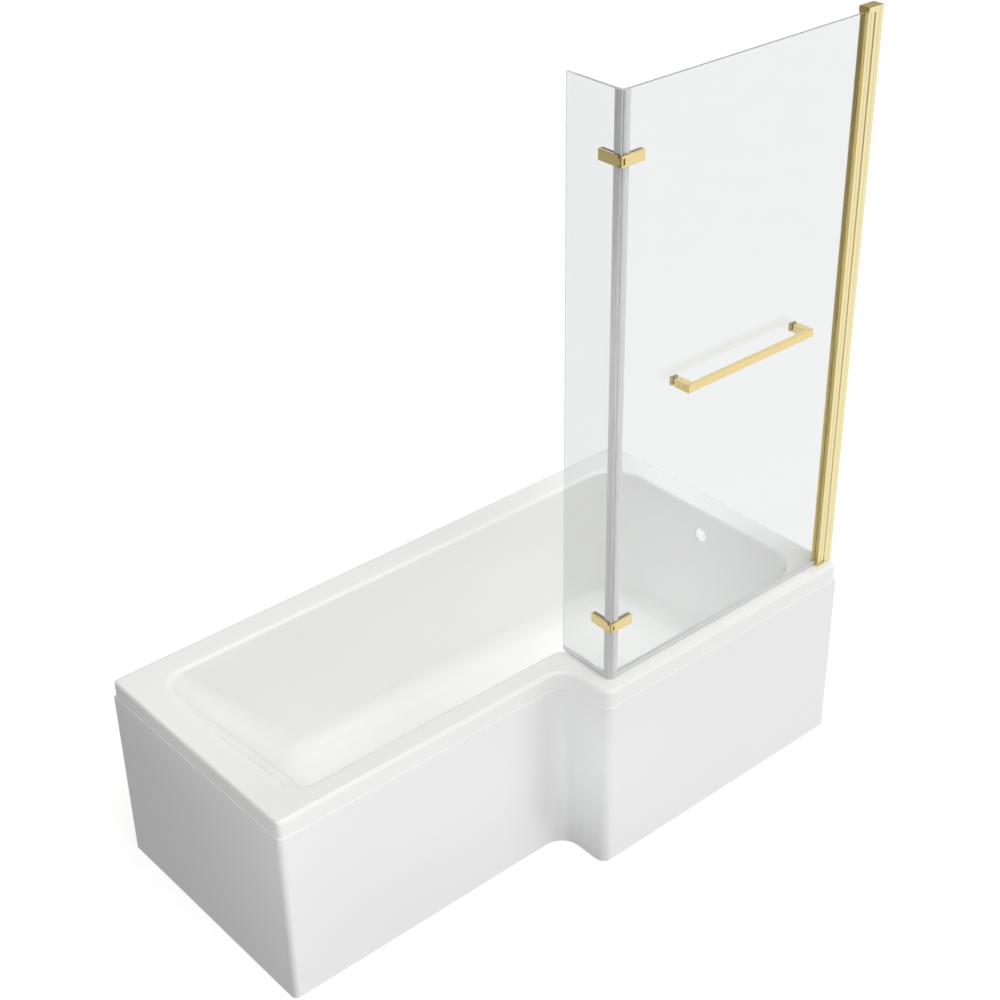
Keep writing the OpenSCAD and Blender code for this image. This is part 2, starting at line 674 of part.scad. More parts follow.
// A round hole through the pane from its outer face
module through_v(v0, l, d) translate([0, v0, 0]) rotate([-90, 0, 0]) cylinder(h = l, d = d, $fn = round_fn);
module each_hinge_screw() for (z = hinge_z, u = hinge_screw_u) translate([u, 0, z]) children();
module each_rail_stud() for (u = rail_u) translate([u, 0, rail_z]) children();

module fixed_glass() color(clear) on_fixed_pane() difference() {
    translate([pane_gap, 0, glass_z0]) cube([pane_end_u - pane_gap, glass_t, glass_h]);
    each_hinge_screw() through_v(-eps, glass_t + 2 * eps, hinge_hole_d);
    each_rail_stud() through_v(-eps, glass_t + 2 * eps, rail_hole_d);
}
module return_glass() color(clear) on_return_pane() difference() {
    translate([pane_gap, 0, glass_z0]) cube([return_w, glass_t, glass_h]);
    each_hinge_screw() through_v(-eps, glass_t + 2 * eps, hinge_hole_d);
}

// Stretches of a corner seal between the hinges, from the rim or just above it to the top
module between_hinges(lift) {
    cut = hinge_h / 2 + 1;
    for (span = [[rim_h + lift, hinge_z[0] - cut], [hinge_z[0] + cut, hinge_z[1] - cut],
            [hinge_z[1] + cut, glass_z1]])
        translate([0, 0, span[0]]) linear_extrude(span[1] - span[0]) children();
}

// A channel that grips the pane's edge
module seal_channel() difference() {
    translate([pane_gap - seal_t, -seal_t]) square([seal_t + seal_grip, glass_t + 2 * seal_t]);
    translate([pane_gap, 0]) square([seal_grip + eps, glass_t]);
}
lip_u = pane_gap - seal_t;
nose_gap = 0.5;     // between the noses of the two corner seals
nose_v = [0.6, glass_t - 0.6];
module fixed_corner_seal() color(soft_grey) on_fixed_pane() between_hinges(0) {
    seal_channel();
    translate([nose_v[1] + nose_gap, 0]) square([lip_u - nose_v[1] - nose_gap + eps, glass_t]);
}
module return_corner_seal() color(soft_grey) on_return_pane() between_hinges(moving_gap) {
    nose_r = (nose_v[1] - nose_v[0]) / 2;
    seal_channel();
    translate([3 + nose_r, nose_v[0]]) square([lip_u - 3 - nose_r + eps, 2 * nose_r]);
    translate([3 + nose_r, nose_v[0] + nose_r]) circle(nose_r, $fn = round_fn);
}

// A channel over the pane's lower edge with a fin down to the rim
moving_gap = 0.3;   // from the moving seals down to the rim
drip_u = pane_gap + seal_grip + moving_gap;
module drip_seal(u1, fin_z) {
    translate([drip_u, -seal_t, glass_z0 - seal_t]) difference() {
        cube([u1 - drip_u, glass_t + 2 * seal_t, seal_t + drip_grip]);
        translate([-eps, seal_t, seal_t]) cube([u1 - drip_u + 2 * eps, glass_t, drip_grip + eps]);
    }
    translate([drip_u, glass_t / 4, fin_z]) cube([u1 - drip_u, glass_t / 2, glass_z0 - seal_t - fin_z + eps]);
}
module fixed_drip_seal() color(soft_grey) on_fixed_pane() drip_seal(profile_x0 - corner_x, rim_h);
module return_drip_seal() color(soft_grey) on_return_pane() drip_seal(pane_gap + return_w, rim_h + moving_gap);

/* Hinges */

module barrel(z0, z1) {
    translate([pin_v, pin_v, z0]) cylinder(h = z1 - z0, r = barrel_r, $fn = round_fn);
    translate([pin_v, pin_v - barrel_r, z0]) cube([plate_u - pin_v + eps, leaf_t, z1 - z0]);
}
module leaf(knuckles) difference() {
    union() {
        translate([plate_u, -gasket_t - leaf_t, -hinge_h / 2]) cube([leaf_l - plate_u, leaf_t, hinge_h]);
        for (k = knuckles) barrel(k[0], k[1]);
    }
    translate([pin_v, pin_v, -hinge_h]) cylinder(h = 2 * hinge_h, d = pin_d + 2 * running_gap, $fn = round_fn);
    for (u = hinge_screw_u) translate([u, 0, 0])
        through_v(-gasket_t - leaf_t * 0.75, leaf_t, hinge_screw_d + 2 * running_gap);
}
outer_z = knuckle_h / 2 + knuckle_gap;
module fixed_leaf() leaf([[-hinge_h / 2, -outer_z], [outer_z, hinge_h / 2]]);
module return_leaf() leaf([[-knuckle_h / 2, knuckle_h / 2]]);

module upper_hinge_fixed_leaf() color(brass) on_fixed_pane() translate([0, 0, hinge_z[1]]) fixed_leaf();
module lower_hinge_fixed_leaf() color(brass) on_fixed_pane() translate([0, 0, hinge_z[0]]) fixed_leaf();
module upper_hinge_return_leaf() color(brass) on_return_pane() translate([0, 0, hinge_z[1]]) return_leaf();
module lower_hinge_return_leaf() color(brass) on_return_pane() translate([0, 0, hinge_z[0]]) return_leaf();

module hinge_pins() color(steel) on_fixed_pane() for (z = hinge_z)
    translate([pin_v, pin_v, z - hinge_h / 2]) cylinder(h = hinge_h, d = pin_d, $fn = round_fn);

// The clamp plates inside the glass, countersunk for their screws
sink_h = hinge_screw_d / 2;
module clamp_plates() difference() {
    for (z = hinge_z) translate([clamp_u, clamp_v, z - hinge_h / 2]) cube([leaf_l - clamp_u, leaf_t, hinge_h]);
    each_hinge_screw() {
        through_v(clamp_v - eps, leaf_t + 2 * eps, hinge_screw_d + 2 * running_gap);
        translate([0, clamp_v + leaf_t - sink_h, 0]) rotate([-90, 0, 0])
            cylinder(h = sink_h + eps, d1 = hinge_screw_d + 2 * running_gap,
                d2 = hinge_screw_d * 2 + 2 * running_gap, $fn = round_fn);
    }
}
module hinge_gaskets() difference() {
    for (z = hinge_z) {
        translate([clamp_u, glass_t, z - hinge_h / 2]) cube([leaf_l - clamp_u, gasket_t, hinge_h]);
        translate([pane_gap, -gasket_t, z - hinge_h / 2]) cube([leaf_l - pane_gap, gasket_t, hinge_h]);
    }
    each_hinge_screw() through_v(-glass_t, 3 * glass_t, hinge_screw_d + 1);
}
module hinge_screws() each_hinge_screw() {
    through_v(-gasket_t - leaf_t * 0.7, clamp_v + leaf_t + gasket_t + leaf_t * 0.7 - sink_h + eps, hinge_screw_d);
    translate([0, clamp_v + leaf_t - sink_h, 0]) rotate([-90, 0, 0])
        cylinder(h = sink_h, d1 = hinge_screw_d, d2 = hinge_screw_d * 2, $fn = round_fn);
}

module fixed_clamp_plates() color(brass) on_fixed_pane() clamp_plates();
module return_clamp_plates() color(brass) on_return_pane() clamp_plates();
module fixed_hinge_gaskets() color(clear) on_fixed_pane() hinge_gaskets();
module return_hinge_gaskets() color(clear) on_return_pane() hinge_gaskets();
module fixed_hinge_screws() color(brass) on_fixed_pane() hinge_screws();
module return_hinge_screws() color(brass) on_return_pane() hinge_screws();

/* Towel rail */

rail_stud_bite = rail_pad_d * 0.7;
module towel_rail() color(brass) on_fixed_pane() difference() {
    union() {
        for (u = rail_u) translate([u - rail_w / 2, -rail_reach, rail_z - rail_w / 2])
            cube([rail_w, rail_reach - gasket_t, rail_w]);
        translate([rail_inset, -rail_reach, rail_z - rail_w / 2]) cube([rail_l, rail_bar_d, rail_w]);
    }
    each_rail_stud() through_v(-gasket_t - rail_stud_bite * 2 - screw_gap, rail_stud_bite * 2 + 1,
        rail_stud_d + 2 * running_gap);
}
module towel_rail_pads() color(brass) on_fixed_pane() difference() {
    each_rail_stud() translate([-rail_w / 2, glass_t + gasket_t, -rail_w / 2])
        cube([rail_w, rail_pad_d, rail_w]);
    each_rail_stud() through_v(glass_t, gasket_t + rail_stud_bite + screw_gap, rail_stud_d + 2 * running_gap);
}
module towel_rail_washers() color(clear) on_fixed_pane() each_rail_stud() for (v = [-gasket_t, glass_t])
    difference() {
        through_v(v, gasket_t, rail_w * 0.9);
        through_v(v - eps, gasket_t + 2 * eps, rail_stud_d + 1);
    }
module towel_rail_studs() color(steel) on_fixed_pane() each_rail_stud()
    through_v(-gasket_t - rail_stud_bite * 2, glass_t + 2 * gasket_t + rail_stud_bite * 3, rail_stud_d);

bath_shell();
base_board();
rim_battens();
front_panel();
end_panel();
panel_clips();
floor_battens();
leg_bar_head();
leg_bar_middle();
leg_bar_waste();
leg_bar_screws();
foot_nuts();
wall_brackets();
bracket_screws();
foot_stud_1();
foot_stud_2();
foot_stud_3();
foot_stud_4();
foot_stud_5();
foot_stud_6();
foot_pad_1();
foot_pad_2();
foot_pad_3();
foot_pad_4();
foot_pad_5();
foot_pad_6();
wall_channel();
channel_cap();
adjusting_profile();
profile_top_cap();
profile_foot_cap();
profile_screws();
glazing_gasket();
fixed_glass();
fixed_corner_seal();
fixed_drip_seal();
upper_hinge_fixed_leaf();
lower_hinge_fixed_leaf();
fixed_clamp_plates();
hinge_pins();
fixed_hinge_gaskets();
fixed_hinge_screws();
towel_rail();
towel_rail_pads();
towel_rail_washers();
towel_rail_studs();
return_glass();
return_corner_seal();
return_drip_seal();
upper_hinge_return_leaf();
lower_hinge_return_leaf();
return_clamp_plates();
return_hinge_gaskets();
return_hinge_screws();
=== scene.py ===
# %% [markdown]
# # An L-shaped shower bath
# The bath is a white acrylic moulding, wider at the shower end. Panels that follow the L hide its steel
# and timber frame, and a two-pane glass screen in brass-coloured metal stands on the rim. The solids come
# from CAD. This lesson dresses them: it rebuilds the pieces whose rounded edges catch the light, and
# gives every other solid the finish of what it is made of.

# %% The fixed frame
import json
import math

import bmesh
import bpy
from mathutils import Matrix, Vector

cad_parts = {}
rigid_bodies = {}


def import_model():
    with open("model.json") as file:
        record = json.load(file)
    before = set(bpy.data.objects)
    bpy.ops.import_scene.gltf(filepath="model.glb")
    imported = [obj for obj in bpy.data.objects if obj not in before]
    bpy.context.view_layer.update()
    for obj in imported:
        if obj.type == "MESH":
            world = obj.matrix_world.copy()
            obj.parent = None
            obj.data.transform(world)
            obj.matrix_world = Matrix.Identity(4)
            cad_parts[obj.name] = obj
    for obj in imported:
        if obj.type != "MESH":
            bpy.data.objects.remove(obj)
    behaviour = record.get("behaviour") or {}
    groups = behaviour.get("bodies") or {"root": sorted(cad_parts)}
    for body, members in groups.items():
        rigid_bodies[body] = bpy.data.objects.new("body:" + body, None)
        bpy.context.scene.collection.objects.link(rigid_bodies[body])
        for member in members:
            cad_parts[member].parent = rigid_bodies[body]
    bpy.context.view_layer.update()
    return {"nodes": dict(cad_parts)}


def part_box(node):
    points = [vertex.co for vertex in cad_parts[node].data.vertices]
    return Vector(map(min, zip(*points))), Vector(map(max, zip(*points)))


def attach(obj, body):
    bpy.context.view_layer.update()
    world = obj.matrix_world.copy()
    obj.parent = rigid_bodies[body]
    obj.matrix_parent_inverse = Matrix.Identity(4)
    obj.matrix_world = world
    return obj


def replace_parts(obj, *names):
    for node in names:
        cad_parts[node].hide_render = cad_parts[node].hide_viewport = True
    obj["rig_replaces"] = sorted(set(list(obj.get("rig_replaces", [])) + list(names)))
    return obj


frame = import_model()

# %% [markdown]
# All sizes below are millimetres in the bath's own corner: x runs from the head end to the shower end,
# y from the front edge of the wide part to the back wall, z up from the floor. One matrix brings a
# finished mesh from there into the frame, in metres, so each piece's object can stay at the origin.

# %% From the bath's corner to the frame
MM = 0.001
shell_low, shell_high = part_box("bath_shell")
TO_FRAME = Matrix.Translation((shell_low.x, shell_low.y, 0)) @ Matrix.Scale(MM, 4)
print("bath is", [round(v / MM) for v in shell_high - shell_low], "mm")

# %% [markdown]
# Colours are written as the sRGB hex values that a picture program shows, and one function turns them
# to the linear light that Blender works in. A second small function adds a node, fills in its sockets
# and links it, so that a material reads as a list of what it is made of.

# %% Colours and nodes
def linear(hex_code):
    """An sRGB hex colour as linear RGBA."""
    channels = [int(hex_code[i:i + 2], 16) / 255 for i in (1, 3, 5)]
    return [c / 12.92 if c <= 0.04045 else ((c + 0.055) / 1.055) ** 2.4 for c in channels] + [1.0]


def add(tree, kind, values=None, links=None, **settings):
    """Adds a node. values fills its sockets, links joins them to other nodes' outputs."""
    node = tree.nodes.new("ShaderNode" + kind)
    for name, value in settings.items():
        setattr(node, name, value)
    for socket, value in (values or {}).items():
        node.inputs[socket].default_value = value
    for socket, source in (links or {}).items():
        tree.links.new(source, node.inputs[socket])
    return node


def new_material(name, **values):
    """A material with a Principled shader, whose sockets take the given values."""
    material = bpy.data.materials.new(name)
    material.use_nodes = True
    tree = material.node_tree
    tree.nodes.clear()
    values = {key.replace("_", " "): value for key, value in values.items()}
    shader = add(tree, "BsdfPrincipled", values)
    add(tree, "OutputMaterial", links={"Surface": shader.outputs["BSDF"]})
    place = add(tree, "TexCoord").outputs["Object"]
    print("material", name)
    return material, tree, shader, place


def per_metre(size_mm):
    """The texture scale at which one feature is size_mm wide."""
    return 1000 / size_mm


print("a mid grey, #808080, is", round(linear("#808080")[0], 3), "in linear light")

# %% [markdown]
# **Acrylic.** The bath is a sheet of cast acrylic, drawn into a mould by vacuum while hot. It is glossy
# and very even, but never a perfect mirror: the sheet keeps a faint waviness some centimetres long, and
# the surface is a little duller where it stretched. Both come from soft noise at the real size, in the
# bump and in the roughness. The panels are only folded, so they keep more of the sheet's gloss.

# %% Gloss acrylic
def acrylic(name, colours, roughness, wave_mm):
    material, tree, shader, place = new_material(name, Roughness=roughness, IOR=1.49, Coat_Weight=0.25,
                                                 Coat_Roughness=0.04)
    wave = add(tree, "TexNoise", {"Scale": per_metre(wave_mm), "Detail": 1.0}, {"Vector": place})
    cloud = add(tree, "TexNoise", {"Scale": per_metre(wave_mm * 3), "Detail": 2.0}, {"Vector": place})
    dull = add(tree, "MapRange", {"To Min": roughness * 0.8, "To Max": roughness * 1.25},
               {"Value": cloud.outputs["Fac"]})
    tint = add(tree, "Mix", {"A": linear(colours[0]), "B": linear(colours[1])},
               {"Factor": cloud.outputs["Fac"]}, data_type="RGBA")
    bump = add(tree, "Bump", {"Strength": 0.06, "Distance": 0.002}, {"Height": wave.outputs["Fac"]})
    tree.links.new(dull.outputs["Result"], shader.inputs["Roughness"])
    tree.links.new(tint.outputs["Result"], shader.inputs["Base Color"])
    tree.links.new(bump.outputs["Normal"], shader.inputs["Normal"])
    return material


bath_acrylic = acrylic("gloss_cast_acrylic", ("#F8F8F7", "#F6F6F5"), 0.13, 60)
panel_acrylic = acrylic("gloss_acrylic_panel", ("#F6F6F6", "#F4F4F4"), 0.06, 90)

# %% [markdown]
# Under the show face the sheet is backed with chopped glass fibre in resin, sprayed on and rolled down.
# It dries matt and straw-coloured, with the strands standing out a little. Stretched noise in two
# directions stands for strands about 40 mm long.

# %% Glass fibre backing
def fibre_backing(name):
    material, tree, shader, place = new_material(name, Roughness=0.62, IOR=1.53)
    heights = []
    for turn, squeeze in ((0.5, (1, 9, 9)), (-0.7, (9, 1, 9))):
        mapping = add(tree, "Mapping", {"Rotation": (turn,) * 3, "Scale": squeeze}, {"Vector": place})
        heights.append(add(tree, "TexNoise", {"Scale": per_metre(40), "Detail": 3.0},
                           {"Vector": mapping.outputs["Vector"]}).outputs["Fac"])
    strands = add(tree, "Math", links={0: heights[0], 1: heights[1]}, operation="MAXIMUM")
    spread = add(tree, "MapRange", {"From Min": 0.4, "From Max": 0.75}, {"Value": strands.outputs["Value"]})
    tint = add(tree, "Mix", {"A": linear("#CFC4A2"), "B": linear("#EDE6CF")},
               {"Factor": spread.outputs["Result"]}, data_type="RGBA")
    bump = add(tree, "Bump", {"Strength": 0.5, "Distance": 0.001}, {"Height": strands.outputs["Value"]})
    tree.links.new(tint.outputs["Result"], shader.inputs["Base Color"])
    tree.links.new(bump.outputs["Normal"], shader.inputs["Normal"])
    return material


backing = fibre_backing("chopped_glass_fibre_backing")

# %% [markdown]
# ** Brushed brass.** The hinges and the rail are solid brass, rubbed with an abrasive belt along their
# length, so highlights spread across the strokes. A clear lacquer over them is a coat with a sheen of its
# own. The wall profile is extruded aluminium, brushed and anodised to the same colour. Its faces that
# look to the head end and the top of its cap get darker gold copies of that colour: painted shade.
# Noise stretched along one axis gives the strokes: real ones are a tenth of a millimetre apart, and here
# they are some 0.6 mm apart so that the picture can show them.

# %% Brushed metals
STROKE_MM = 0.6
STROKE_LENGTH_MM = 60


def brushed_metal(name, colours, roughness, along, lacquer=0.0):
    material, tree, shader, place = new_material(name, Metallic=1.0, Roughness=roughness,
                                                 Coat_Weight=lacquer, Coat_Roughness=0.2)
    squeeze = [STROKE_LENGTH_MM / STROKE_MM] * 3
    squeeze["XYZ".index(along)] = 1
    mapping = add(tree, "Mapping", {"Scale": squeeze}, {"Vector": place})
    strokes = add(tree, "TexNoise", {"Scale": per_metre(STROKE_LENGTH_MM), "Detail": 2.0},
                  {"Vector": mapping.outputs["Vector"]})
    tint = add(tree, "Mix", {"A": linear(colours[0]), "B": linear(colours[1])},
               {"Factor": strokes.outputs["Fac"]}, data_type="RGBA")
    rough = add(tree, "MapRange", {"To Min": roughness * 0.75, "To Max": roughness * 1.3},
                {"Value": strokes.outputs["Fac"]})
    bump = add(tree, "Bump", {"Strength": 0.15, "Distance": 0.0001}, {"Height": strokes.outputs["Fac"]})
    tree.links.new(tint.outputs["Result"], shader.inputs["Base Color"])
    tree.links.new(rough.outputs["Result"], shader.inputs["Roughness"])
    tree.links.new(bump.outputs["Normal"], shader.inputs["Normal"])
    return material


brass = {axis: brushed_metal("brushed_brass_along_" + axis.lower(), ("#E4CC86", "#EED898"), 0.26, axis,
                             lacquer=1.0) for axis in "XYZ"}
anodised = brushed_metal("brushed_anodised_aluminium", ("#EADCA8", "#F4E8BC"), 0.28, "Z")
# Darker copies of the anodised colour: painted shade on faces that look to the head end and on the cap's
# top.
head_end_faces_painted_shade = brushed_metal("anodised_head_end_faces_painted_shade", ("#D2B86E", "#DCC47C"), 0.28, "Z")
cap_top_painted_shade = brushed_metal("brushed_brass_cap_top_painted_shade", ("#B89B42", "#C2A64C"), 0.26, "X")

# %% [markdown]
# **Glass.** Toughened float glass, 6 mm thick, is a little grey, so white behind it looks a shade darker.
# Faint water marks change its roughness by almost nothing, so the pane isn't a perfectly flat reflector.
# The edges are ground and then polished: what is left of the grinding scatters light, which makes them
# a pale grey line, so they have a finish of their own.
#
# ** Plastics.** The seals are clear vinyl that turns milky where it is thick. Light enters it and wanders
# for some millimetres, which is what subsurface scattering does. The wedge that holds the glass in the
# wall profile is silicone. Its light gold is painted: it stands in for the brass seen through the clear
# silicone, kept light against the shade in the slot.

# %% Glass and plastics
def clear_glass(name):
    material, tree, shader, place = new_material(name, Roughness=0.0, IOR=1.52, Transmission_Weight=1.0,
                                                 Base_Color=linear("#E9EBEB"))
    cloud = add(tree, "TexNoise", {"Scale": per_metre(35), "Detail": 4.0}, {"Vector": place})
    marks = add(tree, "MapRange", {"From Min": 0.55, "From Max": 0.8, "To Min": 0.0, "To Max": 0.03},
                {"Value": cloud.outputs["Fac"]})
    tree.links.new(marks.outputs["Result"], shader.inputs["Roughness"])
    return material


WANDER_MM = 6


def soft_plastic(name, colours, roughness, clear, grain_mm, ior=1.5, cloudy=0.0):
    """Plastic with a fine grain. clear lets light through, cloudy lets it wander inside."""
    material, tree, shader, place = new_material(
        name, Roughness=roughness, IOR=ior, Transmission_Weight=clear, Subsurface_Weight=cloudy,
        Subsurface_Radius=(1, 1, 1), Subsurface_Scale=WANDER_MM * MM)
    grain = add(tree, "TexNoise", {"Scale": per_metre(grain_mm), "Detail": 3.0}, {"Vector": place})
    tint = add(tree, "Mix", {"A": linear(colours[0]), "B": linear(colours[1])},
               {"Factor": grain.outputs["Fac"]}, data_type="RGBA")
    bump = add(tree, "Bump", {"Strength": 0.2, "Distance": 0.0001}, {"Height": grain.outputs["Fac"]})
    tree.links.new(tint.outputs["Result"], shader.inputs["Base Color"])
    tree.links.new(bump.outputs["Normal"], shader.inputs["Normal"])
    return material


glass = clear_glass("clear_toughened_glass")
glass_edge = soft_plastic("polished_glass_edge", ("#E6ECE9", "#F2F5F4"), 0.3, 0.5, 1.0, ior=1.52)
vinyl = soft_plastic("clear_extruded_vinyl", ("#F4F5F5", "#FAFAFA"), 0.22, 0.2, 2.0, cloudy=0.5)
gasket = soft_plastic("clear_silicone_sheet", ("#D5D7D8", "#E4E6E6"), 0.35, 0.6, 1.5, ior=1.41)
# The gold is painted: it stands in for the brass seen through clear silicone, kept light against the slot's
# shade.
wedge = soft_plastic("silicone_wedge_painted_gold", ("#F2DA92", "#F6E2A6"), 0.35, 0.1, 1.5, ior=1.41,
                     cloudy=0.6)
black_plastic = soft_plastic("black_moulded_polypropylene", ("#141416", "#1D1D20"), 0.45, 0.0, 1.2,
                             ior=1.49)

# %% [markdown]
# **Hidden frame.** Zinc-plated steel is a cool grey with soft, cloudy changes in sheen. The battens are
# planed softwood, whose rings show as bands along the board, and the base board is chipboard: flakes of
# wood of a few millimetres in glue.

# %% Steel, timber and chipboard
def zinc_plate(name):
    material, tree, shader, place = new_material(name, Metallic=1.0)
    cloud = add(tree, "TexNoise", {"Scale": per_metre(12), "Detail": 4.0}, {"Vector": place})
    tint = add(tree, "Mix", {"A": linear("#A9AEB3"), "B": linear("#CDD1D4")},
               {"Factor": cloud.outputs["Fac"]}, data_type="RGBA")
    rough = add(tree, "MapRange", {"To Min": 0.24, "To Max": 0.46}, {"Value": cloud.outputs["Fac"]})
    tree.links.new(tint.outputs["Result"], shader.inputs["Base Color"])
    tree.links.new(rough.outputs["Result"], shader.inputs["Roughness"])
    return material


def planed_softwood(name):
    material, tree, shader, place = new_material(name, Roughness=0.55, IOR=1.45)
    stretch = add(tree, "Mapping", {"Scale": (0.08, 1.0, 1.0)}, {"Vector": place})
    rings = add(tree, "TexWave",
                {"Scale": per_metre(22), "Distortion": 3.0, "Detail": 2.0, "Detail Scale": 1.5},
                {"Vector": stretch.outputs["Vector"]}, wave_type="BANDS", bands_direction="DIAGONAL")
    fibre = add(tree, "TexNoise", {"Scale": per_metre(3), "Detail": 3.0},
                {"Vector": stretch.outputs["Vector"]})
    grain = add(tree, "Math", {1: 0.35}, {0: fibre.outputs["Fac"], 2: rings.outputs["Fac"]},
                operation="MULTIPLY_ADD")
    tint = add(tree, "Mix", {"A": linear("#DDBE8E"), "B": linear("#B88E58")},
               {"Factor": grain.outputs["Value"]}, data_type="RGBA")
    bump = add(tree, "Bump", {"Strength": 0.2, "Distance": 0.0002}, {"Height": grain.outputs["Value"]})
    tree.links.new(tint.outputs["Result"], shader.inputs["Base Color"])
    tree.links.new(bump.outputs["Normal"], shader.inputs["Normal"])
    return material


def chipboard_finish(name):
    material, tree, shader, place = new_material(name, Roughness=0.7, IOR=1.45)
    squash = add(tree, "Mapping", {"Scale": (1.0, 1.0, 3.0)}, {"Vector": place})
    chips = add(tree, "TexVoronoi", {"Scale": per_metre(5), "Randomness": 1.0},
                {"Vector": squash.outputs["Vector"]})
    ramp = add(tree, "ValToRGB", links={"Fac": chips.outputs["Color"]})
    ramp.color_ramp.elements[0].color = linear("#8E7348")
    ramp.color_ramp.elements[1].color = linear("#D8C091")
    bump = add(tree, "Bump", {"Strength": 0.4, "Distance": 0.0004}, {"Height": chips.outputs["Distance"]})
    tree.links.new(ramp.outputs["Color"], shader.inputs["Base Color"])
    tree.links.new(bump.outputs["Normal"], shader.inputs["Normal"])
    return material


steel = zinc_plate("zinc_plated_steel")
timber = planed_softwood("planed_softwood")
chipboard = chipboard_finish("sanded_chipboard")
print(len(bpy.data.materials), "materials")

# %% [markdown]
# # The pieces
# Each rebuilt piece starts as a small mesh in millimetres. The helper below closes the job: it brings the
# mesh into the frame, turns its faces outwards, shades it smooth up to an angle, hangs it on its body
# and says which CAD node it stands for. Weighted normals keep the flat faces flat beside small bevels.
# Two more helpers round edges, and give faces a material by the direction that they face.

# %% From a bmesh to a finished piece
def finish_piece(bm, name, body, materials, stands_for, smooth=40):
    bm.transform(TO_FRAME)
    bm.normal_update()
    bmesh.ops.recalc_face_normals(bm, faces=bm.faces)
    if bm.calc_volume(signed=True) < 0:
        bmesh.ops.reverse_faces(bm, faces=bm.faces)
    mesh = bpy.data.meshes.new(name)
    bm.to_mesh(mesh)
    bm.free()
    piece = bpy.data.objects.new(name, mesh)
    bpy.context.collection.objects.link(piece)
    for material in materials:
        mesh.materials.append(material)
    shade(mesh, smooth)
    piece.modifiers.new("flat faces stay flat", "WEIGHTED_NORMAL").keep_sharp = True
    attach(piece, body)
    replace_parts(piece, *stands_for)
    print(name, len(mesh.polygons), "faces")
    return piece


def shade(mesh, angle):
    mesh.polygons.foreach_set("use_smooth", [True] * len(mesh.polygons))
    mesh.set_sharp_from_angle(angle=math.radians(angle))


def choose_materials(bm, choice):
    """Gives each face the material slot that choice picks from its normal."""
    bm.normal_update()
    for face in bm.faces:
        face.material_index = int(choice(face.normal))


def round_edges(bm, edges, radius, segments):
    """Rounds the edges with an arc of the radius where two faces meet at a right angle."""
    bmesh.ops.bevel(bm, geom=list(edges), offset=radius, offset_type="OFFSET", affect="EDGES",
                    segments=segments, profile=0.5, material=-1, clamp_overlap=False, loop_slide=True)


# %% [markdown]
# **The bath.** Its skin runs without a break from the lip, over the rounded rim, down the walls and over
# the floor. Seen from above, each level of it is an outline with seven rounded corners: the L, and a
# slight bow at the head end. A face with seven corners is drawn for each level and its corners are
# rounded by bevelling its vertices. Bridging picks partners by nearness, which slips by a vertex where
# the walls lean, so the levels are joined in order instead.

# %% Rounded outlines
CORNER_STEPS = 14


def rounded_outline(bm, corners, radii, z):
    """The outline's vertices at height z, in order, starting at the first corner's arc."""
    points = [Vector((x, y, z)) for x, y in corners]
    vertices = [bm.verts.new(p) for p in points]
    bm.faces.new(vertices)
    start, on_face = None, vertices[0]
    for i, radius in enumerate(radii):
        to_last = (points[i - 1] - points[i]).normalized()
        to_next = (points[(i + 1) % len(points)] - points[i]).normalized()
        half = to_last.angle(to_next) / 2
        tangent = radius / math.tan(half) if half < math.radians(89) else radius
        if start is None:
            start = points[i] + to_last * tangent
        if not radius:
            continue
        made = bmesh.ops.bevel(bm, geom=[vertices[i]], offset=tangent, offset_type="OFFSET",
                               affect="VERTICES", segments=CORNER_STEPS, profile=0.5, material=-1,
                               clamp_overlap=False)
        on_face = made["verts"][0]
    face = on_face.link_faces[0]
    ring = [loop.vert for loop in face.loops]
    first = min(range(len(ring)), key=lambda k: (ring[k].co - start).length)
    return face, ring[first:] + ring[:first]


def join_levels(bm, levels):
    """Joins outlines [corners, radii, height] by strips of faces. The last one's face closes the skin."""
    rings = []
    for corners, radii, z in levels:
        face, ring = rounded_outline(bm, corners, radii, z)
        rings.append(ring)
        if len(rings) < len(levels):
            bm.faces.remove(face)
    for lower, upper in zip(rings, rings[1:]):
        for i, vertex in enumerate(lower):
            bm.faces.new((vertex, lower[i - 1], upper[i - 1], upper[i]))
    bmesh.ops.recalc_face_normals(bm, faces=bm.faces)
    face.normal_update()
    if face.normal.z < 0:
        bmesh.ops.reverse_faces(bm, faces=bm.faces)


# %% [markdown]
# The sizes are those of the CAD solid, so the skin lies where the solid lies. The walls lean in and
# their corners open out towards the floor, and the backrest at the head end leans most. A rounded edge
# stops turning where it is in line with its wall, so the light runs over it without a crease.

# %% Levels of the bath
LENGTH, WIDTH, STEP_X, STEP_Y = 1700, 850, 855, 150
RIM_Z, LIP_Z, FLOOR_Z = 543, 495, 150
SHEET = 5
RIM_R, MOUTH_H, FLOOR_H = 10, 10, 45
DEPTH = RIM_Z - FLOOR_Z
HEAD_RUN, WALL_RUN, SHOWER_RUN = 280, 40, 28
CORNER_R, STEP_HOLLOW_R, STEP_NOSE_R, STRAIGHT_R = 14, 60, 25, 100
MOUTH_HEAD_X, MOUTH_STEP_X, MOUTH_SHOWER_X = 70, 914, 1630
MOUTH_FRONT_Y, MOUTH_NARROW_Y, MOUTH_BACK_Y = 65, 212, 770
BOW, BOW_R = 20, 900
BASIN_HEAD_R, BASIN_STEP_R, BASIN_FRONT_R, BASIN_SHOWER_R = 60, 45, 45, 100
OPENS = 60


def rim_level(inside, z):
    """The rim's outline, some way inside its outer faces."""
    d = inside
    corners = [(d, STEP_Y + d), (STEP_X + d, STEP_Y + d), (STEP_X + d, d), (LENGTH - d, d),
               (LENGTH - d, WIDTH - d), (d, WIDTH - d), (d, (STEP_Y + WIDTH) / 2)]
    radii = [CORNER_R - d, STEP_HOLLOW_R + d, STEP_NOSE_R - d] + [CORNER_R - d] * 3 + [STRAIGHT_R]
    return corners, radii, z


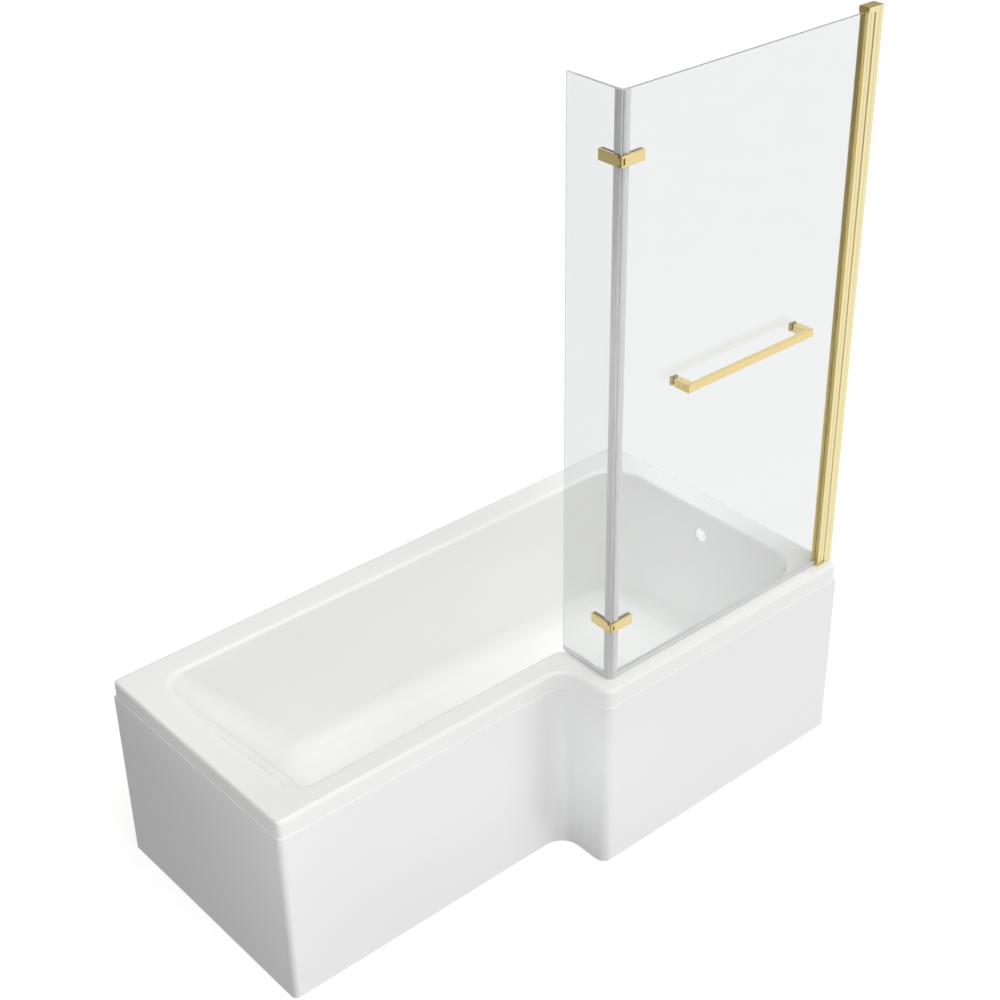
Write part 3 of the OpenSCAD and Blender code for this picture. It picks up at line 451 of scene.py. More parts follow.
def edge_shift(height, c, run):
    """How far a rounded edge as high as this lies off a wall that leans in by run over the basin's depth.

    c runs from 1 where the edge is level to 0 where it meets the wall.
    """
    s = math.sin(math.atan(run / DEPTH))
    radius, level = height / (1 - s), s + (1 - s) * c
    return radius * (math.sqrt(1 - s * s) - math.sqrt(1 - level * level)) - height * c * run / DEPTH


def basin_level(z, height=0.0, c=0.0, beyond=0.0):
    """The basin's outline at height z, moved by the shift of a rounded edge and some way beyond it."""
    k = (RIM_Z - z) / DEPTH
    lean, grow = WALL_RUN * k, OPENS * k
    out = edge_shift(height, c, WALL_RUN) + beyond
    head = MOUTH_HEAD_X + HEAD_RUN * k - edge_shift(height, c, HEAD_RUN) - beyond
    shower = MOUTH_SHOWER_X - SHOWER_RUN * k + edge_shift(height, c, SHOWER_RUN) + beyond
    back, step = MOUTH_BACK_Y - lean + out, MOUTH_STEP_X + lean - out
    front, narrow = MOUTH_FRONT_Y + lean - out, MOUTH_NARROW_Y + lean - out
    corners = [(head + BOW, narrow), (step, narrow), (step, front), (shower, front), (shower, back),
               (head + BOW, back), (head, (narrow + back) / 2)]
    radii = [BASIN_HEAD_R + grow + out, BASIN_STEP_R - out, BASIN_FRONT_R + grow + out,
             BASIN_SHOWER_R + grow + out, BASIN_SHOWER_R + grow + out, BASIN_HEAD_R + grow + out, BOW_R]
    return corners, radii, z


def arc(steps):
    """Angles from 0 to a right angle."""
    return [math.pi / 2 * i / steps for i in range(steps + 1)]


# Beside each rounded edge one more level lies 2 to 6 mm off it, and keeps the flat part flat.
levels = [rim_level(0, LIP_Z), rim_level(0, RIM_Z - RIM_R - 3)]
levels += [rim_level(RIM_R * (1 - math.cos(a)), RIM_Z - RIM_R * (1 - math.sin(a))) for a in arc(8)]
levels += [rim_level(RIM_R + 2, RIM_Z)]
levels += [basin_level(RIM_Z, MOUTH_H, 1, 2)]
levels += [basin_level(RIM_Z - MOUTH_H * (1 - math.cos(a)), MOUTH_H, math.cos(a)) for a in arc(8)]
levels += [basin_level(z) for z in (RIM_Z - MOUTH_H - 4, 420, 310, FLOOR_Z + FLOOR_H + 6)]
levels += [basin_level(FLOOR_Z + FLOOR_H * (1 - math.sin(a)), -FLOOR_H, math.sin(a)) for a in arc(12)]
levels += [basin_level(FLOOR_Z, -FLOOR_H, 1, -4)]
print(len(levels), "levels")

# %% [markdown]
# The drawn skin is the show face. A helper gives a sheet its thickness behind that face and cuts holes
# with round cutters, by Blender's own modifiers, and hands the result back for the small edge work.

# %% Thickness and holes
def evaluated(bm, thickness=0.0, back_material=0, cutters=()):
    """The bmesh with a thickness behind its faces and the cutters' bmeshes taken out of it."""
    def temporary(shape):
        mesh = bpy.data.meshes.new("temporary")
        shape.to_mesh(mesh)
        shape.free()
        piece = bpy.data.objects.new("temporary", mesh)
        bpy.context.collection.objects.link(piece)
        return piece

    sheet = temporary(bm)
    sheet.data.materials.append(bath_acrylic)
    sheet.data.materials.append(backing)
    tools = [temporary(cutter) for cutter in cutters]
    if thickness:
        solidify = sheet.modifiers.new("thickness", "SOLIDIFY")
        solidify.thickness = thickness
        solidify.offset = -1
        solidify.use_even_offset = True
        solidify.use_quality_normals = True
        solidify.material_offset = back_material
    for tool in tools:
        cut = sheet.modifiers.new("hole", "BOOLEAN")
        cut.object = tool
        cut.solver = "EXACT"
    result = bmesh.new()
    result.from_object(sheet, bpy.context.evaluated_depsgraph_get())
    for piece in [sheet] + tools:
        mesh = piece.data
        bpy.data.objects.remove(piece)
        bpy.data.meshes.remove(mesh)
    return result


def cylinder(centre, axis, radius, length, sides=64):
    """A cutter round an axis, centred on a point."""
    bm = bmesh.new()
    turn = Vector((0, 0, 1)).rotation_difference(Vector(axis)).to_matrix().to_4x4()
    bmesh.ops.create_cone(bm, cap_ends=True, segments=sides, radius1=radius, radius2=radius, depth=length,
                          matrix=Matrix.Translation(centre) @ turn)
    return bm


def hole_edges(bm, centre, axis, radius):
    """The edge of a hole on the side that its axis points to."""
    centre, axis = Vector(centre), Vector(axis).normalized()

    def on_rim(vertex):
        offset = vertex.co - centre
        along = offset.dot(axis)
        return abs((offset - axis * along).length - radius) < 0.05 and abs(along) < 0.5
    return [e for e in bm.edges if all(on_rim(v) for v in e.verts) and e.calc_length() < radius / 2]


def sharp_edges(bm, degrees=60):
    return [e for e in bm.edges if len(e.link_faces) == 2 and e.calc_face_angle() > math.radians(degrees)]


# %% [markdown]
# The holes are bare: a 52 mm waste hole in the floor of the shower end, and a 40 mm overflow hole in the
# leaning wall beside it. Their edges are broken by a router, some 1.5 mm round.

# %% The bath shell
WASTE = (1480, 400, FLOOR_Z)
WASTE_R = 26
OVERFLOW = (1624.24, 425, 462)
OVERFLOW_R = 20
WALL_NORMAL = Vector((-DEPTH, 0, SHOWER_RUN)).normalized()

skin = bmesh.new()
join_levels(skin, levels)
shell = evaluated(skin, SHEET, 1, [cylinder(WASTE, (0, 0, 1), WASTE_R, 40),
                                   cylinder(OVERFLOW, WALL_NORMAL, OVERFLOW_R, 40)])
for place, axis, radius in ((WASTE, (0, 0, 1), WASTE_R), (OVERFLOW, WALL_NORMAL, OVERFLOW_R)):
    rim = hole_edges(shell, place, axis, radius)
    print(len(rim), "edges round a hole")
    round_edges(shell, rim, 1.5, 3)
finish_piece(shell, "moulded_bath", "bath", [bath_acrylic, backing], ["bath_shell"],
             smooth=30)

# %% [markdown]
# **Panels.** Both panels are the same acrylic, 4 mm thick, thermoformed: the top is bent inwards under
# the rim as a flange. The face stands 2 mm proud of the bath's lip. Their top bend is tight, and it is
# the line of light that runs round below the rim in the photograph. The two panels meet at the head end,
# round the corner from the front, with a hair's breadth between them.

# %% Front and end panels
PROUD, PANEL_T, BEND_R = 2, 4, 3.5
FLANGE, BREAK_Y, GAP = 25, 164, 0.4
HOLLOW_R, NOSE_R, HEAD_R = 58, 27, 15.5


def bent_panel(corners, radii, face_corners):
    """A flange whose first corners are its outer ones: its edges between them hang down as the face."""
    bm = bmesh.new()
    _, ring = rounded_outline(bm, corners, radii, LIP_Z)
    last = min(range(len(ring)), key=lambda k: (ring[k].co.xy - Vector(corners[face_corners - 1])).length)
    outer = [bm.edges.get((ring[i], ring[i + 1])) for i in range(last)]
    lower = [g for g in bmesh.ops.extrude_edge_only(bm, edges=outer)["geom"]
             if isinstance(g, bmesh.types.BMVert)]
    bmesh.ops.translate(bm, verts=lower, vec=(0, 0, -LIP_Z))
    bmesh.ops.recalc_face_normals(bm, faces=bm.faces)
    if max(bm.faces, key=lambda f: abs(f.normal.z)).normal.z < 0:
        bmesh.ops.reverse_faces(bm, faces=bm.faces)
    bm = evaluated(bm, PANEL_T)
    bend = [e for e in sharp_edges(bm) if all(v.co.z > LIP_Z - 0.01 for v in e.verts)
            and any(min(v.co.z for v in f.verts) < 1 for f in e.link_faces)]
    round_edges(bm, bend, BEND_R, 6)
    return bm


outer = [(-PROUD, BREAK_Y), (-PROUD, STEP_Y - PROUD), (STEP_X - PROUD, STEP_Y - PROUD),
         (STEP_X - PROUD, -PROUD), (LENGTH, -PROUD)]
inside = [(LENGTH, FLANGE), (STEP_X + FLANGE, FLANGE), (STEP_X + FLANGE, STEP_Y + FLANGE),
          (FLANGE + PROUD, STEP_Y + FLANGE), (FLANGE + PROUD, BREAK_Y)]
front = bent_panel(outer + inside, [0, HEAD_R, HOLLOW_R, NOSE_R] + [0] * 6, len(outer))
finish_piece(front, "bent_front_panel", "bath", [panel_acrylic], ["front_panel"],
             smooth=30)
end = bent_panel([(-PROUD, BREAK_Y + GAP), (-PROUD, WIDTH), (FLANGE, WIDTH),
                  (FLANGE, STEP_Y + FLANGE + GAP)], [0] * 4, 2)
finish_piece(end, "bent_end_panel", "bath", [panel_acrylic], ["end_panel"], smooth=30)

# %% [markdown]
# **Glass panes.** Both panes are drawn standing on u, along the pane from the screen's outer corner, and
# v, through the glass from its outer face, as the hinges are. The fixed pane runs along x and the return
# pane is its mirror image across the corner, running along y. The edges get a ground arris of 0.8 mm.
# Clear glass throws almost no shadow. The renderer would have to trace light through it to see that, and
# would otherwise draw the shadow of a board, so the panes are left out of the shadows.

# %% The screen's own directions
CORNER = (899, 34)
GLASS_T, GLASS_Z0, GLASS_H, PANE_GAP = 6, 550, 1470, 10
PANE_ENDS = {"fixed": 1680.5 - CORNER[0], "return": 168}
BOLT_HOLE_R, ARRIS = 6, 0.8
HINGE_Z = (700, 1870)
HINGE_U = (23, 48)
RAIL_U = (192, 596)
RAIL_Z = 1294
TO_FIXED = Matrix.Translation((*CORNER, 0))
TO_RETURN = TO_FIXED @ Matrix(((0, 1, 0, 0), (1, 0, 0, 0), (0, 0, 1, 0), (0, 0, 0, 1)))
panes = {"fixed": (TO_FIXED, "bath"), "return": (TO_RETURN, "return_panel")}


def block(bm, low, high):
    """Adds a box between two corners and gives back its vertices."""
    low, high = Vector(low), Vector(high)
    size = Matrix.Diagonal((*(high - low), 1))
    return bmesh.ops.create_cube(bm, size=1, matrix=Matrix.Translation((low + high) / 2) @ size)["verts"]


def through_glass(u, z, radius):
    """A cutter through the glass and what is clamped to it."""
    return cylinder((u, 0, z), (0, 1, 0), radius, 40, 48)


print("the screen's corner is at", CORNER, "mm")

# %% Glass panes
def pane(name, holes):
    bm = bmesh.new()
    block(bm, (PANE_GAP, 0, GLASS_Z0), (PANE_ENDS[name], GLASS_T, GLASS_Z0 + GLASS_H))
    bm = evaluated(bm, cutters=[through_glass(u, z, BOLT_HOLE_R) for u, z in holes])
    round_edges(bm, [e for e in sharp_edges(bm) if e.calc_length() > 5], ARRIS, 1)
    choose_materials(bm, lambda normal: abs(normal.y) < 0.9)
    placing, body = panes[name]
    bm.transform(placing)
    sheet = finish_piece(bm, name + "_pane", body, [glass, glass_edge], [name + "_glass"],
                         smooth=20)
    sheet.visible_shadow = sheet.visible_diffuse = False


hinge_holes = [(u, z) for u in HINGE_U for z in HINGE_Z]
pane("fixed", hinge_holes + [(u, RAIL_Z) for u in RAIL_U])
pane("return", hinge_holes)

# %% [markdown]
# **Towel rail.** A flat bar and two square posts of solid brass, mitred at the corners and soldered. The
# light catches a narrow bevel round each face. Inside the glass sits a short square pad on each bolt.

# %% Towel rail
RAIL_FRONT_V, RAIL_BACK_V = -46.5, -36.5
RAIL_ENDS = (182, 606)
RAIL_HALF, RAIL_EDGE_R = 10, 0.6
WASHER_T, PAD_T, PAD_EDGE_R, STUD_HOLE_R = 1, 10, 0.8, 3.05
RAIL_LOW, RAIL_HIGH, RAIL_MIDDLE = RAIL_Z - RAIL_HALF, RAIL_Z + RAIL_HALF, sum(RAIL_ENDS) / 2
rail = bmesh.new()
block(rail, (RAIL_ENDS[0], RAIL_FRONT_V, RAIL_LOW), (RAIL_ENDS[1], RAIL_BACK_V, RAIL_HIGH))
for vertex in rail.verts:
    if vertex.co.y > RAIL_BACK_V - 1:
        vertex.co.x += 2 * RAIL_HALF if vertex.co.x < RAIL_MIDDLE else -2 * RAIL_HALF
for u in RAIL_U:
    post = block(rail, (u - RAIL_HALF, RAIL_FRONT_V, RAIL_LOW), (u + RAIL_HALF, -WASHER_T, RAIL_HIGH))
    mitred = u + RAIL_HALF if u < RAIL_MIDDLE else u - RAIL_HALF
    for vertex in post:
        if abs(vertex.co.x - mitred) < 0.1 and vertex.co.y < RAIL_BACK_V:
            vertex.co.y = RAIL_BACK_V
round_edges(rail, sharp_edges(rail, 20), RAIL_EDGE_R, 2)
rail.transform(TO_FIXED)
finish_piece(rail, "square_towel_rail", "bath", [brass["X"]], ["towel_rail"])

pads = bmesh.new()
for u in RAIL_U:
    block(pads, (u - RAIL_HALF, GLASS_T + WASHER_T, RAIL_LOW),
          (u + RAIL_HALF, GLASS_T + WASHER_T + PAD_T, RAIL_HIGH))
pads = evaluated(pads, cutters=[cylinder((u, GLASS_T, RAIL_Z), (0, 1, 0), STUD_HOLE_R, 17, 32)
                                for u in RAIL_U])
round_edges(pads, [e for e in sharp_edges(pads) if e.calc_length() > 5], PAD_EDGE_R, 2)
pads.transform(TO_FIXED)
finish_piece(pads, "square_rail_pads", "bath", [brass["X"]], ["towel_rail_pads"])

# %% [markdown]
# **Hinges.** Each hinge has a solid brass leaf outside each pane. Their knuckles meet round one pin at
# the screen's corner: the return leaf has the middle knuckle and the fixed leaf the outer two. A clamp
# plate inside holds the glass with two countersunk screws. The leaf is milled from bar, so its long
# edges carry a fine bevel that shows as light lines.

# %% Hinge leaves and clamp plates
LEAF_T, LEAF_END, PLATE_U, LEAF_HALF, LEAF_EDGE_R = 4.5, 64, 5.5, 13, 1.0
PIN_V, BORE_R, GASKET_T = -1, 2.55, 1
KNUCKLES = {"fixed": ((-13, -7.2), (7.2, 13)), "return": ((-7, 7),)}


def extruded(corners, radii, z0, z1):
    """A bar standing on a rounded outline."""
    bm = bmesh.new()
    face, _ = rounded_outline(bm, corners, radii, z0)
    bmesh.ops.remove_doubles(bm, verts=bm.verts, dist=0.01)
    grown = bmesh.ops.extrude_face_region(bm, geom=list(bm.faces))["geom"]
    risen = [g for g in grown if isinstance(g, bmesh.types.BMVert)]
    bmesh.ops.translate(bm, verts=risen, vec=(0, 0, z1 - z0))
    bmesh.ops.recalc_face_normals(bm, faces=bm.faces)
    return bm


def join_into(bm, *others):
    """Moves the other bmeshes' faces into the first."""
    for other in others:
        mesh = bpy.data.meshes.new("temporary")
        other.to_mesh(mesh)
        other.free()
        bm.from_mesh(mesh)
        bpy.data.meshes.remove(mesh)


def knuckle(z0, z1):
    """The curl of a leaf round the pin: round outside, flat where it meets the plate."""
    low, high, reach = PIN_V - LEAF_T, PIN_V + LEAF_T, PLATE_U + 0.5
    curl = extruded([(reach, low), (low, low), (low, high), (high, high), (high, PIN_V), (reach, PIN_V)],
                    [0, LEAF_T, LEAF_T, LEAF_T, 0, 0], z0, z1)
    curl = evaluated(curl, cutters=[cylinder((PIN_V, PIN_V, (z0 + z1) / 2), (0, 0, 1), BORE_R, 40, 32)])
    ends = [e for e in sharp_edges(curl) if abs(e.verts[0].co.z - e.verts[1].co.z) < 1]
    round_edges(curl, ends, 0.3, 2)
    return curl


for height, level in (("lower", HINGE_Z[0]), ("upper", HINGE_Z[1])):
    for side, metal in (("fixed", brass["X"]), ("return", brass["Y"])):
        placing, body = panes[side]
        leaf = bmesh.new()
        block(leaf, (PLATE_U, -GASKET_T - LEAF_T, -LEAF_HALF), (LEAF_END, -GASKET_T, LEAF_HALF))
        round_edges(leaf, sharp_edges(leaf), LEAF_EDGE_R, 3)
        join_into(leaf, *(knuckle(z0, z1) for z0, z1 in KNUCKLES[side]))
        leaf.transform(placing @ Matrix.Translation((0, 0, level)))
        finish_piece(leaf, "_".join((height, side, "leaf")), body, [metal],
                     ["_".join((height, "hinge", side, "leaf"))])

CLAMP_U, CLAMP_V, CLAMP_EDGE_R, SCREW_R, SINK = 13.5, GLASS_T + GASKET_T, 0.6, 2.55, 2.5
TOWARDS_V = Matrix.Rotation(-math.pi / 2, 4, "X")
for side, metal in (("fixed", brass["X"]), ("return", brass["Y"])):
    placing, body = panes[side]
    plates, tools = bmesh.new(), []
    for level in HINGE_Z:
        block(plates, (CLAMP_U, CLAMP_V, level - LEAF_HALF),
              (LEAF_END, CLAMP_V + LEAF_T, level + LEAF_HALF))
        for u in HINGE_U:
            tools.append(through_glass(u, level, SCREW_R))
            sink = bmesh.new()
            middle = Matrix.Translation((u, CLAMP_V + LEAF_T - SINK / 2 + 0.25, level))
            bmesh.ops.create_cone(sink, cap_ends=True, segments=48, radius1=SCREW_R,
                                  radius2=SCREW_R + SINK + 0.5, depth=SINK + 0.5, matrix=middle @ TOWARDS_V)
            tools.append(sink)
    plates = evaluated(plates, cutters=tools)
    round_edges(plates, [e for e in sharp_edges(plates) if e.calc_length() > 4], CLAMP_EDGE_R, 2)
    plates.transform(placing)
    finish_piece(plates, side + "_inner_plates", body, [metal], [side + "_clamp_plates"])

# %% [markdown]
# **Wall profile.** A channel screwed to the wall, and in it an inner profile that takes up a wall that
# isn't plumb, locked by screws from inside. Both are extrusions: one section, drawn once and drawn out.
# Shallow grooves run down their faces. A cap closes both at the top, a small one the inner profile at
# the foot.

# %% Channel and inner profile
OUT_X, SPLIT_X, INNER_X = 1650, 1674, 1692
WALL_Z0, CAP_Z0, CAP_Z1 = RIM_Z, 2020, 2033
METAL_T, GROOVE, EDGE_R = 1.8, 0.5, 0.5
CHANNEL_GROOVE, INNER_GROOVE = (1687, 1688), (OUT_X + 10.5, OUT_X + 11.5)
ACROSS = (22, 52)
INNER_ACROSS = (24, 50)
SLOT = (32.5, 41.5)
SLOT_DEEP = 32
LOCK_X, LOCK_R, LOCK_Z = 1684, 2.05, (700, 1285, 1870)
WALL_HOLE_R, WALL_HOLE_Z = 2.75, [1288 + z for z in (-650, -220, 220, 650)]
FOOT_CAP_T, CAP_EDGE_R = 6, 0.6


def section(points, z0, z1):
    """A sharp-cornered section drawn out from z0 to z1."""
    return extruded(points, [0] * len(points), z0, z1)


def upright_edges(bm, points):
    """The sharp edges that stand on these points of the section."""
    return [e for e in sharp_edges(bm)
            if any(all(math.hypot(v.co.x - x, v.co.y - y) < 0.05 for v in e.verts) for x, y in points)]


def lock_holes(face_y):
    return [cylinder((LOCK_X, face_y, z), (0, 1, 0), LOCK_R, 5, 32) for z in LOCK_Z]


channel = section([(SPLIT_X, ACROSS[0]), (CHANNEL_GROOVE[0], ACROSS[0]),
                   (CHANNEL_GROOVE[0], ACROSS[0] + GROOVE), (CHANNEL_GROOVE[1], ACROSS[0] + GROOVE),
                   (CHANNEL_GROOVE[1], ACROSS[0]), (LENGTH, ACROSS[0]), (LENGTH, ACROSS[1]),
                   (SPLIT_X, ACROSS[1]), (SPLIT_X, ACROSS[1] - METAL_T),
                   (LENGTH - METAL_T, ACROSS[1] - METAL_T), (LENGTH - METAL_T, ACROSS[0] + METAL_T),
                   (SPLIT_X, ACROSS[0] + METAL_T)], WALL_Z0, CAP_Z1 - METAL_T)
wall_holes = [cylinder((LENGTH, sum(ACROSS) / 2, z), (1, 0, 0), WALL_HOLE_R, 10, 32) for z in WALL_HOLE_Z]
channel = evaluated(channel, cutters=wall_holes + lock_holes(ACROSS[1]))
round_edges(channel, upright_edges(channel, [(SPLIT_X, ACROSS[0]), (SPLIT_X, ACROSS[1])]), EDGE_R, 2)
finish_piece(channel, "wall_channel_section", "bath", [anodised], ["wall_channel"])

inner = section([(OUT_X, INNER_ACROSS[0]), (INNER_GROOVE[0], INNER_ACROSS[0]),
                 (INNER_GROOVE[0], INNER_ACROSS[0] + GROOVE), (INNER_GROOVE[1], INNER_ACROSS[0] + GROOVE),
                 (INNER_GROOVE[1], INNER_ACROSS[0]), (INNER_X, INNER_ACROSS[0]),
                 (INNER_X, INNER_ACROSS[1]), (OUT_X, INNER_ACROSS[1]), (OUT_X, SLOT[1]),
                 (OUT_X + SLOT_DEEP, SLOT[1]), (OUT_X + SLOT_DEEP, SLOT[0]), (OUT_X, SLOT[0])],
                RIM_Z + FOOT_CAP_T, CAP_Z0)
hollows = []
for low, high in ((INNER_ACROSS[0], SLOT[0]), (SLOT[1], INNER_ACROSS[1])):
    hollow = bmesh.new()
    block(hollow, (OUT_X + METAL_T, low + METAL_T, 500), (INNER_X - METAL_T, high - METAL_T, 2100))
    hollows.append(hollow)
inner = evaluated(inner, cutters=hollows + lock_holes(INNER_ACROSS[1]))
round_edges(inner, upright_edges(inner, [(OUT_X, y) for y in INNER_ACROSS + SLOT]), EDGE_R, 2)
# Faces that look to the head end take the darker copy: painted shade.
choose_materials(inner, lambda normal: normal.x < -0.5)
finish_piece(inner, "inner_profile_section", "bath", [anodised, head_end_faces_painted_shade],
             ["adjusting_profile"])

# %% Top cap and foot cap
cap = bmesh.new()
block(cap, (OUT_X, ACROSS[0], CAP_Z0), (LENGTH, ACROSS[1], CAP_Z1))
under = bmesh.new()
block(under, (SPLIT_X, 0, CAP_Z0 - 10), (LENGTH + 10, 100, CAP_Z1 - METAL_T))
cap = evaluated(cap, cutters=[under])
round_edges(cap, [e for e in sharp_edges(cap) if any(v.co.z > CAP_Z1 - 0.1 for v in e.verts)
                  or all(v.co.x < SPLIT_X - 0.1 for v in e.verts)], CAP_EDGE_R, 2)
# Faces that look to the head end take one darker copy, and the top and the other faces that don't face the
# front take another: painted shade.
choose_materials(cap, lambda normal: 2 if normal.x < -0.5 else normal.y > -0.5)
finish_piece(cap, "bent_top_cap", "bath", [anodised, cap_top_painted_shade, head_end_faces_painted_shade],
             ["profile_top_cap", "channel_cap"])
foot = bmesh.new()
block(foot, (OUT_X, ACROSS[0], RIM_Z), (SPLIT_X, ACROSS[1], RIM_Z + FOOT_CAP_T))
round_edges(foot, sharp_edges(foot), EDGE_R, 2)
finish_piece(foot, "foot_cap", "bath", [brass["X"]], ["profile_foot_cap"])

# %% [markdown]
# The other CAD solids stay as they are. They are hidden by the panels, or small, and get the material of
# what they are made of.

# %% Finishes of the CAD solids
finishes = {
    "base_board": chipboard, "rim_battens": timber, "floor_battens": timber,
    "leg_bar_head": steel, "leg_bar_middle": steel, "leg_bar_waste": steel, "leg_bar_screws": steel,
    "foot_nuts": steel, "wall_brackets": steel, "bracket_screws": steel, "hinge_pins": steel,
    "towel_rail_studs": steel, "panel_clips": black_plastic,
    "profile_screws": brass["Z"], "fixed_hinge_screws": brass["Y"], "return_hinge_screws": brass["X"],
    "fixed_corner_seal": vinyl, "return_corner_seal": vinyl, "fixed_drip_seal": vinyl,
    "return_drip_seal": vinyl, "glazing_gasket": wedge, "fixed_hinge_gaskets": gasket,
    "return_hinge_gaskets": gasket, "towel_rail_washers": gasket,
}
for number in range(1, 7):
    finishes["foot_stud_%d" % number] = steel
    finishes["foot_pad_%d" % number] = black_plastic
for name, material in finishes.items():
    solid = frame["nodes"][name]
    solid.data.materials.clear()
    solid.data.materials.append(material)
replaced = {name for piece in bpy.data.objects for name in piece.get("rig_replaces", [])}
print("CAD nodes without a finish:", sorted(set(frame["nodes"]) - set(finishes) - replaced))

# %% [markdown]
# # Camera, floor and light
# The photograph is taken from the front left, from above head height. The camera's place and turn were
# found by fitting the corners of the real bath to the picture.

# %% Camera
CAMERA_PLACE = Vector((-2.4307, -2.89085, 3.2387))
RIGHT, UP = Vector((0.7546, -0.6560, -0.0144)), Vector((0.3544, 0.3890, 0.8503))
FORWARD = Vector((0.5522, 0.6467, -0.5261))
camera_data = bpy.data.cameras.new("camera")
camera_data.sensor_width = 36
camera_data.lens = 65.48
camera = bpy.data.objects.new("camera", camera_data)
bpy.context.collection.objects.link(camera)
turn = Matrix((RIGHT, UP, -FORWARD)).transposed()
camera.matrix_world = Matrix.LocRotScale(CAMERA_PLACE, turn, None)
bpy.context.scene.camera = camera
print("camera", round(CAMERA_PLACE.length, 2), "m away, lens", round(camera_data.lens, 1), "mm")

# %% [markdown]
# The studio is bright and almost shadowless. The bath stands on a white sheet lit from below, as on a
# product table, inside a round white backdrop. Both are there to be seen: the light on the bath comes
# from a tent round it, which closes below it too, so floor and backdrop stay out of its reflections and
# its shadows. The floor shows only the soft shadow that the bath throws on it.

# %% Floor and backdrop
FLOOR_HALF, FLOOR_LIGHT, BELOW = 40, 0.74, 0.001
BACKDROP_R, BACKDROP_H, BACKDROP_LIGHT = 30, 30, 1.0


def studio_sheet(name, light):
    material, tree, shader, place = new_material(name, Roughness=0.9, Emission_Color=(1, 1, 1, 1),
                                                 Emission_Strength=light)
    cloud = add(tree, "TexNoise", {"Scale": per_metre(300), "Detail": 3.0}, {"Vector": place})
    tint = add(tree, "Mix", {"A": linear("#A6A6A6"), "B": linear("#A2A2A2")},
               {"Factor": cloud.outputs["Fac"]}, data_type="RGBA")
    tree.links.new(tint.outputs["Result"], shader.inputs["Base Color"])
    return material


def set_up(name, bm, light):
    """Stands a mesh in metres in the studio, where it lights and shades nothing but is seen."""
    mesh = bpy.data.meshes.new(name)
    bm.to_mesh(mesh)
    bm.free()
    mesh.materials.append(studio_sheet("pale_" + name, light))
    piece = bpy.data.objects.new(name, mesh)
    bpy.context.collection.objects.link(piece)
    piece.visible_diffuse = piece.visible_glossy = piece.visible_shadow = False
    print(name, "light", light)


ground = bmesh.new()
bmesh.ops.create_grid(ground, x_segments=1, y_segments=1, size=FLOOR_HALF,
                      matrix=Matrix.Translation((0, 0, -BELOW)))
set_up("studio_floor", ground, FLOOR_LIGHT)
wall = bmesh.new()
bmesh.ops.create_cone(wall, cap_ends=False, segments=96, radius1=BACKDROP_R, radius2=BACKDROP_R,
                      depth=BACKDROP_H, matrix=Matrix.Translation((0, 0, BACKDROP_H / 2 - 0.1)))
bmesh.ops.reverse_faces(wall, faces=wall.faces)
set_up("studio_backdrop", wall, BACKDROP_LIGHT)

# %% [markdown]
# The walls of the tent aren't all equally bright: they are brighter towards the shower end, the front and
# below. What a matt surface gets from a tent whose brightness changes evenly with direction is easy to
# work out. It is the middle brightness and two thirds of the slope along the surface's normal, so faces
# of the bath in the photograph gave these numbers. Metal and gloss show the tent itself. Five soft glows
# stand where the camera sees it mirrored: in the faces that look to the head end, in those that look to
# the front, in the edges of the rim and in the tops of the hinges and the cap.

# %% Light tent
TENT_MIDDLE = 0.42
TENT_SLOPE = (0.52, -0.30, -0.16)
TENT_DARKEST = 0.03
BEHIND_LEFT_GLOW = ((-0.552, 0.647, -0.526), 0.86, 0.97, 0.58)
LOW_LEFT_GLOW = ((-0.647, -0.552, -0.526), 0.965, 0.985, 1.6)
LOW_RIGHT_GLOW = ((0.552, -0.647, -0.526), 0.78, 0.96, 0.30)
HIGH_BACK_GLOW = ((-0.20, 0.68, 0.70), 0.86, 0.95, 0.80)
FAR_GLOW = ((0.68, 0.68, 0.18), 0.91, 0.98, 0.42)

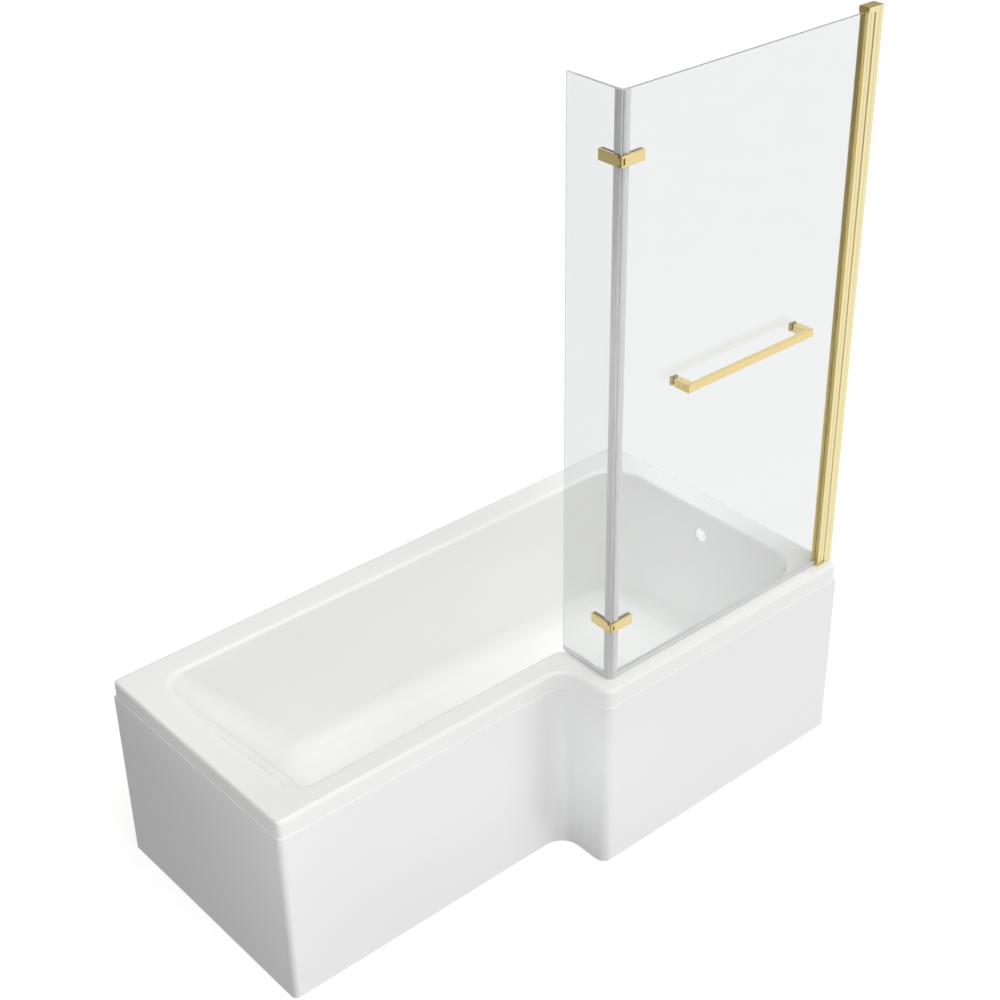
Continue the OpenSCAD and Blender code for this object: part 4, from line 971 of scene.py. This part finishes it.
world = bpy.data.worlds.new("light_tent")
world.use_nodes = True
tent = world.node_tree
tent.nodes.clear()
direction = add(tent, "TexCoord").outputs["Generated"]
slope = add(tent, "VectorMath", {1: TENT_SLOPE}, {0: direction}, operation="DOT_PRODUCT")
level = add(tent, "Math", {1: TENT_MIDDLE}, {0: slope.outputs["Value"]}, operation="ADD").outputs["Value"]
level = add(tent, "Math", {1: TENT_DARKEST}, {0: level}, operation="MAXIMUM").outputs["Value"]
for towards, outer, inner, strength in (BEHIND_LEFT_GLOW, LOW_LEFT_GLOW, LOW_RIGHT_GLOW,
                                       HIGH_BACK_GLOW, FAR_GLOW):
    nearness = add(tent, "VectorMath", {1: towards}, {0: direction}, operation="DOT_PRODUCT")
    spot = add(tent, "MapRange", {"From Min": outer, "From Max": inner, "To Max": strength},
               {"Value": nearness.outputs["Value"]}, interpolation_type="SMOOTHSTEP")
    level = add(tent, "Math", links={0: level, 1: spot.outputs["Result"]}, operation="ADD").outputs["Value"]
glow = add(tent, "Background", links={"Strength": level})
add(tent, "OutputWorld", links={"Surface": glow.outputs["Background"]})
bpy.context.scene.world = world
print("tent made of", len(tent.nodes), "nodes")

# %% [markdown]
# A wide, soft sun from above lights the rim and the floor of the basin. Softboxes fill in what the tent
# leaves too dark. Some carry a grid, which Blender calls spread: it keeps the light of a box on one spot,
# such as the floor of the shower end, the screen or the step. The boxes themselves are hidden from the
# camera and the mirrors, because the tent already gives the highlights.

# %% Lamps
def lamp(name, kind, energy, place, target, **settings):
    data = bpy.data.lights.new(name, kind)
    data.energy = energy
    for key, value in settings.items():
        setattr(data, key, value)
    light = bpy.data.objects.new(name, data)
    bpy.context.collection.objects.link(light)
    light.location = place
    light.rotation_euler = (Vector(place) - Vector(target)).to_track_quat("Z", "Y").to_euler()
    print(name, energy)
    return light


lamp("overhead_light", "SUN", 1.50, (-0.04, -0.40, 2.90), (0, 0, 2), angle=math.radians(60))
for name, energy, size, place, target, spread in (
        ("left_softbox", 1.7, 0.5, (-1.5, -0.6, 0.6), (-0.85, -0.1, 0.3), 180),
        ("front_softbox", 12.6, 1.5, (2.2, -2.8, 2.0), (0, -0.3, 0.4), 180),
        ("back_softbox", 1.6, 0.8, (-1.3, 0.5, 1.6), (-0.5, 0, 0.5), 180),
        ("corner_softbox", 0.45, 0.5, (1.0, 0.6, 1.8), (0.8, 0.1, 0.5), 40),
        ("shower_softbox", 0.5, 0.4, (-2.4, 0.35, 1.5), (0.775, 0.05, 0.38), 24),
        ("screen_softbox", 0.75, 0.4, (-3.0, -0.6, 1.4), (0, -0.35, 1.35), 28),
        ("step_softbox", 0.18, 0.2, (-3.0, -1.2, 0.9), (0, -0.35, 0.3), 14)):
    softbox = lamp(name, "AREA", energy, place, target, shape="SQUARE", size=size,
                   spread=math.radians(spread))
    softbox.visible_camera = softbox.visible_glossy = softbox.visible_transmission = False
bpy.context.scene.view_settings.view_transform = "Standard"
